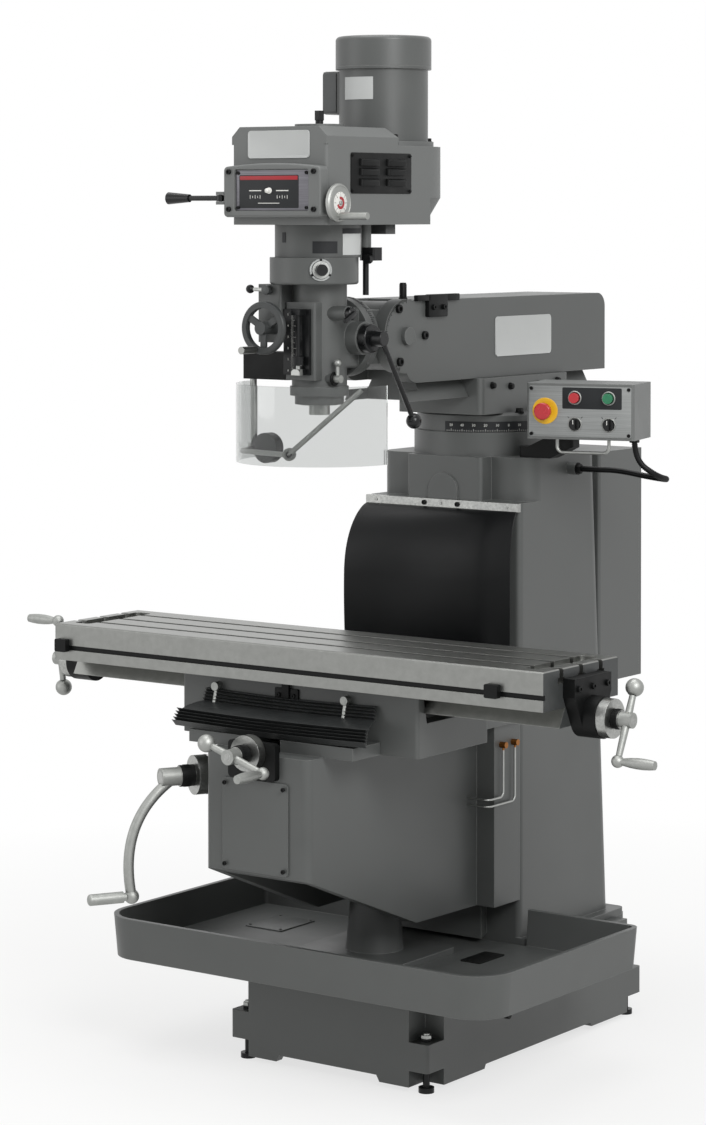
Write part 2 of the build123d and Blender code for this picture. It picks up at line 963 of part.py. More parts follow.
# Cabinet door with the other half of the hinges
with BuildPart() as cabinet_door:
    with BuildSketch(Plane.XZ.offset(-cabinet_rear - slide_gap)):
        with Locations((0, cabinet_bottom)):
            Rectangle(cabinet_width, cabinet_height, align=(Align.CENTER, Align.MIN))
    extrude(amount=-door_thickness)
    fillet(cabinet_door.faces().sort_by(Axis.Y)[-1].edges(), door_edge)
    with Locations(
        (hinge_x, cabinet_rear, lower_barrel + barrel_length / 2 - slide_gap),
        (hinge_x, cabinet_rear, upper_barrel + barrel_length / 2 - slide_gap),
    ):
        Cylinder(
            barrel_radius + slide_gap,
            barrel_length / 2 + 2 * slide_gap,
            align=(Align.CENTER, Align.CENTER, Align.MIN),
            mode=Mode.SUBTRACT,
        )
    with Locations(
        (hinge_x, cabinet_rear, lower_barrel + slide_gap), (hinge_x, cabinet_rear, upper_barrel + slide_gap)
    ):
        Cylinder(
            barrel_radius,
            barrel_length / 2 - 2 * slide_gap,
            align=(Align.CENTER, Align.CENTER, Align.MIN),
        )
cabinet_door.part.label = "cabinet_door"
export_step(cabinet_door.part, "parts/cabinet_door.step")

# Pendant: planes on the floor and the face of the control box
across = (cos(radians(pendant_angle)), sin(radians(pendant_angle)), 0)
outward = (sin(radians(pendant_angle)), -cos(radians(pendant_angle)), 0)
box_floor = Plane(origin=(box_x, box_y, box_bottom), x_dir=across, z_dir=(0, 0, 1))
box_face = Plane(origin=(box_x, box_y, box_bottom), x_dir=across, z_dir=outward)
right_across = buttons_across + selectors_apart

# Pendant arm: a bar bolted on the column's top that steps up to the floor of the box
with BuildPart() as pendant_arm:
    with BuildSketch(Plane.XZ.offset(-arm_y - arm_width / 2)) as arm_side:
        with BuildLine():
            Polyline(
                (arm_start, column_top),
                (arm_start + arm_reach - arm_pad_length, column_top),
                (arm_start + arm_reach, box_bottom - arm_height),
                (arm_start + arm_reach, box_bottom),
                (arm_start + arm_reach - arm_pad_length, box_bottom),
                (arm_start + arm_reach - 2 * arm_pad_length, column_top + arm_height),
                (arm_start, column_top + arm_height),
                close=True,
            )
        make_face()
    extrude(amount=arm_width)
    fillet(pendant_arm.edges().filter_by(Axis.Z), arm_corner)
pendant_arm.part.label = "pendant_arm"
export_step(pendant_arm.part, "parts/pendant_arm.step")

# Control box with guide holes for the buttons and selectors
with BuildPart() as control_box:
    with BuildSketch(box_floor):
        Rectangle(box_width, box_depth, align=(Align.MIN, Align.MIN))
    extrude(amount=box_height)
    fillet(control_box.edges().filter_by(Axis.Z), box_corner)
    with BuildSketch(box_face):
        with Locations(
            (stop_across, stop_up),
            (buttons_across, buttons_up),
            (right_across, buttons_up),
            (buttons_across, selectors_up),
            (right_across, selectors_up),
        ):
            Circle(stem_radius + slide_gap)
    extrude(amount=-hole_depth, mode=Mode.SUBTRACT)
control_box.part.label = "control_box"
export_step(control_box.part, "parts/control_box.step")

# Emergency stop: mushroom head on a neck
with BuildPart() as estop_button:
    with BuildSketch(box_face.offset(stop_lift)):
        with Locations((stop_across, stop_up)):
            Circle(stop_radius)
    extrude(amount=stop_height)
    fillet(estop_button.edges().filter_by(GeomType.CIRCLE).sort_by(Axis.Y)[0], stop_edge)
    with BuildSketch(box_face.offset(stop_lift)):
        with Locations((stop_across, stop_up)):
            Circle(stop_neck)
    extrude(amount=button_lift - stop_lift)
    with BuildSketch(box_face.offset(button_lift)):
        with Locations((stop_across, stop_up)):
            Circle(stem_radius)
    extrude(amount=-button_lift - stem_length)
estop_button.part.label = "estop_button"
export_step(estop_button.part, "parts/estop_button.step")

# Stop button
with BuildPart() as stop_button:
    with BuildSketch(box_face.offset(button_lift)):
        with Locations((buttons_across, buttons_up)):
            Circle(button_radius)
    extrude(amount=button_height)
    with BuildSketch(box_face.offset(button_lift)):
        with Locations((buttons_across, buttons_up)):
            Circle(stem_radius)
    extrude(amount=-button_lift - stem_length)
stop_button.part.label = "stop_button"
export_step(stop_button.part, "parts/stop_button.step")

# Start button
with BuildPart() as start_button:
    with BuildSketch(box_face.offset(button_lift)):
        with Locations((right_across, buttons_up)):
            Circle(button_radius)
    extrude(amount=button_height)
    with BuildSketch(box_face.offset(button_lift)):
        with Locations((right_across, buttons_up)):
            Circle(stem_radius)
    extrude(amount=-button_lift - stem_length)
start_button.part.label = "start_button"
export_step(start_button.part, "parts/start_button.step")

# Left selector: a skirt with a raised grip
with BuildPart() as selector_left:
    with BuildSketch(box_face.offset(slide_gap)):
        with Locations((buttons_across, selectors_up)):
            Circle(selector_radius)
    extrude(amount=selector_height)
    with BuildSketch(box_face.offset(slide_gap + selector_height)):
        with Locations((buttons_across, selectors_up)):
            Rectangle(selector_grip, selector_grip_length)
    extrude(amount=selector_grip_height)
    with BuildSketch(box_face.offset(slide_gap)):
        with Locations((buttons_across, selectors_up)):
            Circle(stem_radius)
    extrude(amount=-slide_gap - stem_length)
selector_left.part.label = "selector_left"
export_step(selector_left.part, "parts/selector_left.step")

# Right selector
with BuildPart() as selector_right:
    with BuildSketch(box_face.offset(slide_gap)):
        with Locations((right_across, selectors_up)):
            Circle(selector_radius)
    extrude(amount=selector_height)
    with BuildSketch(box_face.offset(slide_gap + selector_height)):
        with Locations((right_across, selectors_up)):
            Rectangle(selector_grip, selector_grip_length)
    extrude(amount=selector_grip_height)
    with BuildSketch(box_face.offset(slide_gap)):
        with Locations((right_across, selectors_up)):
            Circle(stem_radius)
    extrude(amount=-slide_gap - stem_length)
selector_right.part.label = "selector_right"
export_step(selector_right.part, "parts/selector_right.step")

# Wire handle under the box
wire_plane = box_face.offset(-wire_back)
with BuildPart() as pendant_handle:
    with BuildLine(wire_plane) as wire_path:
        FilletPolyline(
            (wire_start, 0),
            (wire_start, -wire_drop),
            (wire_start + wire_length, -wire_drop),
            (wire_start + wire_length, 0),
            radius=wire_bend,
        )
    with BuildSketch(Plane(origin=wire_path.line @ 0, z_dir=wire_path.line % 0)):
        Circle(wire_radius)
    sweep()
pendant_handle.part.label = "pendant_handle"
export_step(pendant_handle.part, "parts/pendant_handle.step")

# Conduit: leaves the box downwards, loops out and comes back to the gland on the column
conduit_end = Vector(column_width / 2 + gland_length, conduit_end_y, column_top - conduit_end_drop)
conduit_start = box_floor.from_local_coords(Vector(conduit_across, conduit_deep, 0))
conduit_points = [
    conduit_start,
    conduit_start + Vector(0, 0, -52),
    conduit_start + Vector(46, 28, -92),
    conduit_start + Vector(44, 92, -104),
    conduit_start + Vector(-34, 120, -102),
    conduit_end + Vector(104, 18, 0),
    conduit_end + Vector(48, 0, 0),
    conduit_end,
]
conduit_radii = []
for before, corner, after in zip(conduit_points, conduit_points[1:], conduit_points[2:]):
    turn = (corner - before).get_angle(after - corner)
    shorter = min((corner - before).length, (after - corner).length)
    conduit_radii.append(0.45 * shorter / tan(radians(turn / 2)))
with BuildPart() as conduit:
    with BuildLine() as conduit_path:
        FilletPolyline(*conduit_points, radius=conduit_radii)
    with BuildSketch(Plane(origin=conduit_path.line @ 0, z_dir=conduit_path.line % 0)):
        Circle(conduit_radius)
    sweep()
conduit.part.label = "conduit"
export_step(conduit.part, "parts/conduit.step")

# Turret: swivel disc and the block that guides the ram
with BuildPart() as turret:
    with BuildSketch(Plane.XY.offset(turret_bottom)):
        with Locations((0, turret_y)):
            Circle(turret_radius)
    extrude(amount=turret_disc)
    chamfer(turret.faces().sort_by(Axis.Z)[-1].edges(), turret_chamfer)
    with BuildSketch(Plane.XY.offset(block_bottom)) as block:
        with Locations((0, turret_y)):
            RectangleRounded(block_width, block_length, block_edge)
    extrude(amount=block_height)
    with BuildSketch(Plane.XZ.offset(-turret_y)):
        with BuildLine():
            Polyline(
                (-ram_dovetail_root / 2 - slide_gap, block_top),
                (-ram_dovetail_tip / 2 - slide_gap, block_top - ram_dovetail_height - slide_gap),
                (ram_dovetail_tip / 2 + slide_gap, block_top - ram_dovetail_height - slide_gap),
                (ram_dovetail_root / 2 + slide_gap, block_top),
                close=True,
            )
        make_face()
    extrude(amount=block_length, both=True, mode=Mode.SUBTRACT)
turret.part.label = "turret"
export_step(turret.part, "parts/turret.step")

# Ram: box casting, open at the back, with a clevis nose and a dovetail below
with BuildPart() as ram:
    with BuildSketch(Plane.YZ):
        with Locations((nod_y, nod_z)):
            Circle(nose_radius)
        with Locations((nod_y + nose_lower_back, ram_bottom + nose_lower_radius)):
            Circle(nose_lower_radius)
        make_hull()
        with Locations((nod_y, ram_top)):
            Rectangle(ram_rear - nod_y, ram_height, align=(Align.MIN, Align.MAX))
        with Locations((nod_y, ram_bottom)):
            Rectangle(
                2 * nose_lower_back, nod_rise, align=(Align.CENTER, Align.MIN), mode=Mode.SUBTRACT
            )
        with Locations((nod_y, nod_z)):
            Circle(nose_radius)
        with Locations((nod_y + nose_lower_back, ram_bottom + nose_lower_radius)):
            Circle(nose_lower_radius)
        with BuildLine():
            Polyline(
                (nod_y, nod_z),
                (nod_y + nose_lower_back, ram_bottom),
                (nod_y + 2 * nose_lower_back, ram_bottom),
                (nod_y + 2 * nose_lower_back, nod_z),
                close=True,
            )
        make_face()
    extrude(amount=ram_width / 2, both=True)
    fillet(ram.edges().filter_by(Axis.X).group_by(Axis.Y)[-1].sort_by(Axis.Z)[-1], ram_rear_round)
    with BuildSketch(Plane.XZ.offset(-ram_rear)):
        with Locations((0, ram_bottom + ram_height / 2)):
            RectangleRounded(ram_bore_width, ram_bore_height, ram_bore_corner)
    extrude(amount=ram_bore_length, mode=Mode.SUBTRACT)
    with BuildSketch(Plane.XZ.offset(-turret_y - ram_dovetail_rear)):
        with BuildLine():
            Polyline(
                (-ram_dovetail_root / 2, ram_bottom),
                (-ram_dovetail_tip / 2, ram_bottom - ram_dovetail_height - slide_gap),
                (ram_dovetail_tip / 2, ram_bottom - ram_dovetail_height - slide_gap),
                (ram_dovetail_root / 2, ram_bottom),
                close=True,
            )
        make_face()
    extrude(amount=ram_dovetail_rear + ram_dovetail_front)
    with BuildSketch(Plane.XY.offset(nod_z + 2 * nose_radius)):
        with Locations((0, nod_y + slot_back)):
            Rectangle(slot_width, 2 * nose_radius + slot_back, align=(Align.CENTER, Align.MAX))
    extrude(amount=-2 * nose_radius - ram_height - 2 * ram_dovetail_height, mode=Mode.SUBTRACT)
    with BuildSketch(Plane.YZ):
        with Locations((nod_y, nod_z)):
            Circle(pin_radius + running_gap)
    extrude(amount=ram_width, both=True, mode=Mode.SUBTRACT)
ram.part.label = "ram"
export_step(ram.part, "parts/ram.step")

# Pin through the clevis, with a cap on each side
with BuildPart() as knuckle_pin:
    with BuildSketch(Plane.YZ):
        with Locations((nod_y, nod_z)):
            Circle(pin_radius)
    extrude(amount=ram_width / 2 + pin_cap, both=True)
    with BuildSketch(Plane.YZ.offset(ram_width / 2)):
        with Locations((nod_y, nod_z)):
            Circle(pin_cap_radius)
    extrude(amount=pin_cap)
    with BuildSketch(Plane.YZ.offset(-ram_width / 2)):
        with Locations((nod_y, nod_z)):
            Circle(pin_cap_radius)
    extrude(amount=-pin_cap)
knuckle_pin.part.label = "knuckle_pin"
export_step(knuckle_pin.part, "parts/knuckle_pin.step")

# Knuckle: barrel in the clevis, neck and the round face that the head tilts on
with BuildPart() as knuckle:
    with BuildSketch(Plane.YZ):
        with Locations((nod_y, nod_z)):
            Circle(knuckle_radius)
            Rectangle(knuckle_reach, 2 * knuckle_neck, align=(Align.MAX, Align.CENTER))
    extrude(amount=slot_width / 2 - slide_gap, both=True)
    with BuildSketch(Plane.XZ.offset(-tilt_face)):
        with Locations((0, nod_z)):
            Circle(disc_radius)
    extrude(amount=-disc_thickness)
    with BuildSketch(Plane.YZ):
        with Locations((nod_y, nod_z)):
            Circle(pin_radius + running_gap)
    extrude(amount=ram_width, both=True, mode=Mode.SUBTRACT)
knuckle.part.label = "knuckle"
export_step(knuckle.part, "parts/knuckle.step")

# Quill housing: barrel with the tilt flange behind, feed block, scale channel and side bosses
with BuildPart() as quill_housing:
    with BuildSketch(Plane.XY.offset(housing_bottom)):
        with Locations((0, spindle_y)):
            Circle(housing_radius)
    extrude(amount=housing_rise + housing_drop)
    with BuildSketch(Plane.XZ.offset(-tilt_face)):
        with Locations((0, nod_z)):
            Circle(disc_radius)
    extrude(amount=flange_thickness)
    with BuildSketch(Plane.XZ.offset(-tilt_face)):
        with Locations((0, nod_z)):
            RectangleRounded(2 * housing_radius, back_height, back_corner)
    extrude(amount=tilt_face - spindle_y)
    with BuildSketch(Plane.XY.offset(housing_bottom + channel_start)):
        with Locations((0, spindle_y)):
            Rectangle(channel_width, channel_front, align=(Align.CENTER, Align.MAX))
    extrude(amount=channel_height)
    fillet(quill_housing.faces().sort_by(Axis.Y)[0].edges().filter_by(Axis.Z), housing_fillet)
    with BuildSketch(Plane.XY.offset(housing_top - feed_block_height)):
        with Locations((feed_block_right, spindle_y - feed_block_front)):
            Rectangle(feed_block_width, feed_block_depth, align=(Align.MAX, Align.MIN))
    extrude(amount=feed_block_height)
    fillet(quill_housing.faces().sort_by(Axis.Y)[0].edges().filter_by(Axis.Z), housing_fillet)
    with BuildSketch(Plane.YZ):
        with Locations((pinion_y, nod_z)):
            Circle(pinion_boss_radius)
    extrude(amount=pinion_boss_reach)
    with BuildSketch(Plane.YZ):
        with Locations((spindle_y - clutch_boss_front, nod_z + clutch_boss_rise)):
            Circle(clutch_boss_radius)
    extrude(amount=clutch_boss_reach)
    with BuildSketch(Plane.XY.offset(housing_bottom)):
        with Locations((0, spindle_y)):
            Circle(skirt_radius)
    extrude(amount=-skirt_height)
    with BuildSketch(Plane.XY.offset(skirt_bottom)):
        with Locations((0, spindle_y)):
            Circle(collar_radius)
    extrude(amount=-collar_height)
    with BuildSketch(Plane.XY.offset(collar_bottom)):
        with Locations((0, spindle_y)):
            Circle(quill_radius + running_gap)
    extrude(amount=housing_top - collar_bottom, mode=Mode.SUBTRACT)
    with BuildSketch(Plane.YZ.offset(pinion_boss_reach)):
        with Locations((pinion_y, nod_z)):
            Circle(lever_shaft_radius + running_gap)
    extrude(amount=-lever_shaft_length - 1, mode=Mode.SUBTRACT)
    with BuildSketch(Plane.XZ.offset(feed_block_front - spindle_y)):
        with Locations((wheel_x, nod_z + wheel_rise)):
            Circle(wheel_shaft_radius + running_gap)
    extrude(amount=-wheel_shaft_length - 1, mode=Mode.SUBTRACT)
    with BuildSketch(Plane.XZ.offset(feed_block_front - spindle_y)):
        with Locations((feed_block_right - trip_inset, nod_z + trip_rise)):
            Circle(trip_stud_radius + running_gap)
    extrude(amount=-trip_stud_length - 1, mode=Mode.SUBTRACT)
    with BuildSketch(Plane.YZ.offset(channel_width / 2)):
        with Locations((spindle_y - lock_forward, nod_z - lock_drop)):
            Circle(lock_boss_radius)
    extrude(amount=housing_radius - channel_width / 2)
    with BuildSketch(Plane.YZ.offset(housing_radius)):
        with Locations((spindle_y - lock_forward, nod_z - lock_drop)):
            Circle(lock_stud_radius + running_gap)
    extrude(amount=-lock_stud_length - 1, mode=Mode.SUBTRACT)
quill_housing.part.label = "quill_housing"
export_step(quill_housing.part, "parts/quill_housing.step")

# Feed gear case on top of the quill housing
knob_dir = (sin(radians(-knob_angle)), -cos(radians(knob_angle)), 0)
knob_seat = Plane(
    origin=(
        gear_case_radius * knob_dir[0],
        spindle_y - gear_case_front + gear_case_radius * knob_dir[1],
        housing_top + knob_rise,
    ),
    x_dir=(-knob_dir[1], knob_dir[0], 0),
    z_dir=knob_dir,
)
with BuildPart() as feed_gear_case:
    with BuildSketch(Plane.XY.offset(housing_top)):
        with Locations((0, spindle_y - gear_case_front)):
            Circle(gear_case_radius)
    extrude(amount=gear_case_height)
    fillet(feed_gear_case.edges().group_by(Axis.Z)[0], housing_fillet)
    with BuildSketch(Plane.XY.offset(housing_top)):
        with Locations((0, spindle_y)):
            Circle(drawbar_hole)
    extrude(amount=gear_case_height, mode=Mode.SUBTRACT)
    with BuildSketch(knob_seat):
        Circle(knob_boss_radius)
    extrude(amount=-knob_boss_depth)
    with BuildSketch(knob_seat):
        Circle(knob_stud_radius + running_gap)
    extrude(amount=-knob_stud_length - 1, mode=Mode.SUBTRACT)
feed_gear_case.part.label = "feed_gear_case"
export_step(feed_gear_case.part, "parts/feed_gear_case.step")

# Back gear housing under the belt housing
with BuildPart() as back_gear_housing:
    with BuildSketch(Plane.XY.offset(gear_top)):
        with Locations((0, spindle_y - back_gear_front)):
            Circle(back_gear_radius)
    extrude(amount=back_gear_height)
    with BuildSketch(Plane.XY.offset(gear_top)):
        with Locations((0, spindle_y)):
            Circle(drawbar_hole)
    extrude(amount=back_gear_height, mode=Mode.SUBTRACT)
back_gear_housing.part.label = "back_gear_housing"
export_step(back_gear_housing.part, "parts/back_gear_housing.step")

# Belt housing: long round-backed case, undercut at the back, with a raised cover in front
with BuildPart() as belt_housing:
    with BuildSketch(Plane.XY.offset(belt_bottom)):
        with Locations((0, belt_face)):
            Rectangle(2 * belt_half_width, motor_y - belt_face, align=(Align.CENTER, Align.MIN))
        with Locations((0, motor_y)):
            Circle(belt_half_width)
    extrude(amount=belt_height)
    fillet(belt_housing.faces().sort_by(Axis.Y)[0].edges().filter_by(Axis.Z), belt_corner)
    with BuildSketch(Plane.YZ):
        with BuildLine():
            Polyline(
                (motor_y + belt_half_width - belt_undercut, belt_bottom),
                (motor_y + belt_half_width, belt_bottom + belt_undercut_height),
                (motor_y + belt_half_width + 1, belt_bottom + belt_undercut_height),
                (motor_y + belt_half_width + 1, belt_bottom),
                close=True,
            )
        make_face()
    revolve(axis=Axis((0, motor_y, 0), (0, 0, 1)), revolution_arc=90, mode=Mode.SUBTRACT)
    with BuildSketch(Plane.YZ):
        with BuildLine():
            Polyline(
                (motor_y + belt_half_width - belt_undercut, belt_bottom),
                (motor_y + belt_half_width, belt_bottom + belt_undercut_height),
                (motor_y + belt_half_width + 1, belt_bottom + belt_undercut_height),
                (motor_y + belt_half_width + 1, belt_bottom),
                close=True,
            )
        make_face()
    revolve(axis=Axis((0, motor_y, 0), (0, 0, 1)), revolution_arc=-90, mode=Mode.SUBTRACT)
    with BuildSketch(Plane.XY.offset(belt_top)):
        with Locations((0, belt_face)):
            Rectangle(2 * belt_half_width, cover_length, align=(Align.CENTER, Align.MIN))
    extrude(amount=cover_height)
    chamfer(belt_housing.faces().sort_by(Axis.Z)[-1].edges().sort_by(Axis.Y)[1:], cover_chamfer)
    with BuildSketch(Plane.XY.offset(cover_top)):
        with Locations((0, spindle_y)):
            Circle(cover_boss_radius)
    extrude(amount=cover_boss_height)
    with BuildSketch(Plane.XY.offset(belt_top)):
        with Locations((0, motor_y)):
            Circle(motor_foot_radius)
    extrude(amount=motor_foot_height)
    with BuildSketch(Plane.XY.offset(belt_bottom)):
        with Locations((0, spindle_y)):
            Circle(drawbar_hole)
    extrude(amount=cover_top + cover_boss_height - belt_bottom, mode=Mode.SUBTRACT)
    with BuildSketch(Plane.YZ.offset(belt_half_width)):
        with Locations((belt_face + speed_wheel_back, belt_bottom + speed_wheel_rise)):
            Circle(speed_shaft_radius + running_gap)
    extrude(amount=-speed_shaft_length - 1, mode=Mode.SUBTRACT)
belt_housing.part.label = "belt_housing"
export_step(belt_housing.part, "parts/belt_housing.step")

# Speed panel on the front of the belt housing, with two ears for the range lever
panel_bottom = belt_bottom + panel_rise
panel_face = belt_face - panel_depth
ear_z = panel_bottom + ear_rise
ear_x = -panel_width / 2 - ear_reach
ear_y = belt_face - panel_depth / 2
with BuildPart() as speed_panel:
    with BuildSketch(Plane.XZ.offset(-belt_face)):
        with BuildLine():
            Polyline(
                (-panel_width / 2, panel_bottom + panel_height - panel_arch),
                (-panel_width / 2, panel_bottom),
                (panel_width / 2, panel_bottom),
                (panel_width / 2, panel_bottom + panel_height - panel_arch),
            )
            ThreePointArc(
                (panel_width / 2, panel_bottom + panel_height - panel_arch),
                (0, panel_bottom + panel_height),
                (-panel_width / 2, panel_bottom + panel_height - panel_arch),
            )
        make_face()
    extrude(amount=panel_depth)
    fillet(speed_panel.edges().filter_by(Axis.Y), panel_corner)
    fillet(speed_panel.faces().sort_by(Axis.Y)[0].edges(), panel_edge)
    with BuildSketch(Plane.XZ.offset(-panel_face)):
        with Locations((0, panel_bottom + panel_height / 2)):
            RectangleRounded(panel_recess_width, panel_recess_height, panel_recess_corner)
    extrude(amount=-panel_recess, mode=Mode.SUBTRACT)
    with BuildSketch(Plane.XY.offset(ear_z + ear_gap / 2)):
        with Locations((ear_x, ear_y)):
            Circle(ear_radius)
            Rectangle(ear_reach, 2 * ear_radius, align=(Align.MIN, Align.CENTER))
        with Locations((ear_x, ear_y)):
            Circle(range_pin_radius + running_gap, mode=Mode.SUBTRACT)
    extrude(amount=ear_thickness)
    with BuildSketch(Plane.XY.offset(ear_z - ear_gap / 2)):
        with Locations((ear_x, ear_y)):
            Circle(ear_radius)
            Rectangle(ear_reach, 2 * ear_radius, align=(Align.MIN, Align.CENTER))
        with Locations((ear_x, ear_y)):
            Circle(range_pin_radius + running_gap, mode=Mode.SUBTRACT)
    extrude(amount=-ear_thickness)
speed_panel.part.label = "speed_panel"
export_step(speed_panel.part, "parts/speed_panel.step")

# Motor with its terminal box
motor_bottom = belt_top + motor_foot_height
with BuildPart() as motor:
    with BuildSketch(Plane.XY.offset(motor_bottom)):
        with Locations((0, motor_y)):
            Circle(motor_radius)
    extrude(amount=motor_top - motor_bottom)
    with BuildSketch(Plane.XY.offset(motor_top)):
        with Locations((0, motor_y)):
            Circle(motor_rim_radius)
    extrude(amount=-motor_rim_height)
    with BuildSketch(Plane.XY.offset(belt_top + terminal_rise)) as terminal:
        with Locations((0, motor_y)):
            Rectangle(terminal_reach, terminal_width, align=(Align.MAX, Align.CENTER))
        fillet(terminal.vertices().group_by(Axis.X)[0], terminal_edge)
    extrude(amount=terminal_height)
motor.part.label = "motor"
export_step(motor.part, "parts/motor.step")

# Fan cover: a pressed cup on the motor's rim
with BuildPart() as fan_cover:
    with BuildSketch(Plane.XY.offset(motor_top)):
        with Locations((0, motor_y)):
            Circle(fan_radius)
    extrude(amount=fan_height)
    fillet(fan_cover.edges().group_by(Axis.Z)[-1], fan_round)
    with BuildSketch(Plane.XY.offset(motor_top)):
        with Locations((0, motor_y)):
            Circle(fan_radius - fan_wall)
    extrude(amount=fan_height - fan_round, mode=Mode.SUBTRACT)
fan_cover.part.label = "fan_cover"
export_step(fan_cover.part, "parts/fan_cover.step")

# Depth stop: scale plate, lugs, screw and nut
scale_bottom = housing_bottom + scale_start
scale_back = spindle_y - channel_front
stop_screw_y = scale_back - scale_thickness - stop_lug_depth / 2
with BuildPart() as depth_stop:
    with BuildSketch(Plane.XZ.offset(-scale_back)):
        with Locations((scale_left, scale_bottom)):
            Rectangle(scale_width, scale_height, align=(Align.MIN, Align.MIN))
    extrude(amount=scale_thickness)
    with BuildSketch(Plane.XY.offset(scale_bottom + scale_height - stop_lug_height)):
        with Locations((stop_screw_x, scale_back - scale_thickness)):
            Rectangle(stop_lug_width, stop_lug_depth, align=(Align.CENTER, Align.MAX))
    extrude(amount=stop_lug_height)
    with BuildSketch(Plane.XY.offset(scale_bottom)):
        with Locations((stop_screw_x, scale_back - scale_thickness)):
            Rectangle(stop_lug_width, stop_lug_depth, align=(Align.CENTER, Align.MAX))
    extrude(amount=stop_lug_height)
    with BuildSketch(Plane.XY.offset(scale_bottom)):
        with Locations((stop_screw_x, stop_screw_y)):
            Circle(stop_screw_radius)
    extrude(amount=scale_height)
    with BuildSketch(Plane.XY.offset(scale_bottom + stop_nut_rise)):
        with Locations((stop_screw_x, stop_screw_y)):
            Circle(stop_nut_radius)
    extrude(amount=stop_nut_height)
depth_stop.part.label = "depth_stop"
export_step(depth_stop.part, "parts/depth_stop.step")

# Brake linkage: boss under the belt housing, clamp with its knob, and hanging rod
link_y = spindle_y + link_setback
clamp_bottom = belt_bottom - link_drop - clamp_height
with BuildPart() as brake_linkage:
    with BuildSketch(Plane.XY.offset(clamp_bottom)):
        with Locations((link_x + clamp_shift, link_y)):
            RectangleRounded(clamp_width, clamp_depth, clamp_corner)
        with Locations((0, spindle_y - back_gear_front)):
            Circle(back_gear_radius + slide_gap, mode=Mode.SUBTRACT)
    extrude(amount=clamp_height)
    with BuildSketch(Plane.XY.offset(clamp_bottom)):
        with Locations((link_x, link_y)):
            Circle(link_radius)
    extrude(amount=belt_bottom - clamp_bottom)
    with BuildSketch(Plane.XZ.offset(clamp_depth / 2 - link_y)):
        with Locations((link_knob_x, belt_bottom - link_knob_drop)):
            Circle(link_knob_radius)
    extrude(amount=link_knob_length)
    with BuildSketch(Plane.XY.offset(clamp_bottom)):
        with Locations((link_x, link_y)):
            Circle(link_rod_radius)
    extrude(amount=-link_rod_length)
brake_linkage.part.label = "brake_linkage"
export_step(brake_linkage.part, "parts/brake_linkage.step")

# Guard bracket: block on the housing's left side that holds the guard's post
guard_y = spindle_y - post_gy
block_low = nod_z - guard_block_bottom
with BuildPart() as guard_bracket:
    with BuildSketch(Plane.XY.offset(block_low)) as guard_plan:
        with Locations((post_gx - guard_block_over, guard_y)):
            Rectangle(guard_block_width, guard_block_depth, align=(Align.MIN, Align.CENTER))
        fillet(guard_plan.vertices(), guard_block_edge)
        with Locations((0, spindle_y)):
            Circle(housing_radius, mode=Mode.SUBTRACT)
        with Locations((post_gx, guard_y)):
            Circle(guard_post_radius + running_gap, mode=Mode.SUBTRACT)
    extrude(amount=guard_block_height)
guard_bracket.part.label = "guard_bracket"
export_step(guard_bracket.part, "parts/guard_bracket.step")

# Quill
quill_bottom = collar_bottom - quill_show
with BuildPart() as quill:
    with BuildSketch(Plane.XY.offset(quill_bottom)):
        with Locations((0, spindle_y)):
            Circle(quill_radius)
            Circle(shaft_radius + running_gap, mode=Mode.SUBTRACT)
    extrude(amount=quill_length)
quill.part.label = "quill"
export_step(quill.part, "parts/quill.step")

# Spindle: nose with a tapered socket, shaft and drawbar
spindle_tip = quill_bottom - slide_gap - nose_length
drawbar_top = cover_top + cover_boss_height + drawbar_above
shaft_top = spindle_tip + shaft_length
with BuildPart() as spindle:
    with BuildSketch(Plane.YZ):
        with BuildLine():
            Polyline(
                (spindle_y + socket_mouth, spindle_tip),
                (spindle_y + nose_radius_spindle, spindle_tip),
                (spindle_y + nose_radius_spindle, spindle_tip + nose_length),
                (spindle_y + shaft_radius, spindle_tip + nose_length),
                (spindle_y + shaft_radius, shaft_top),
                (spindle_y + drawbar_radius, shaft_top),
                (spindle_y + drawbar_radius, drawbar_top),
                (spindle_y, drawbar_top),
                (spindle_y, spindle_tip + socket_depth),
                (spindle_y + socket_bore, spindle_tip + socket_depth),
                (spindle_y + socket_bore, spindle_tip + socket_taper),
                close=True,
            )
        make_face()
    revolve(axis=Axis((0, spindle_y, 0), (0, 0, 1)))
    with BuildSketch(Plane.XY.offset(drawbar_top)):
        with Locations((0, spindle_y)):
            RegularPolygon(drawbar_hex, 6)
    extrude(amount=drawbar_hex_height)
spindle.part.label = "spindle"
export_step(spindle.part, "parts/spindle.step")

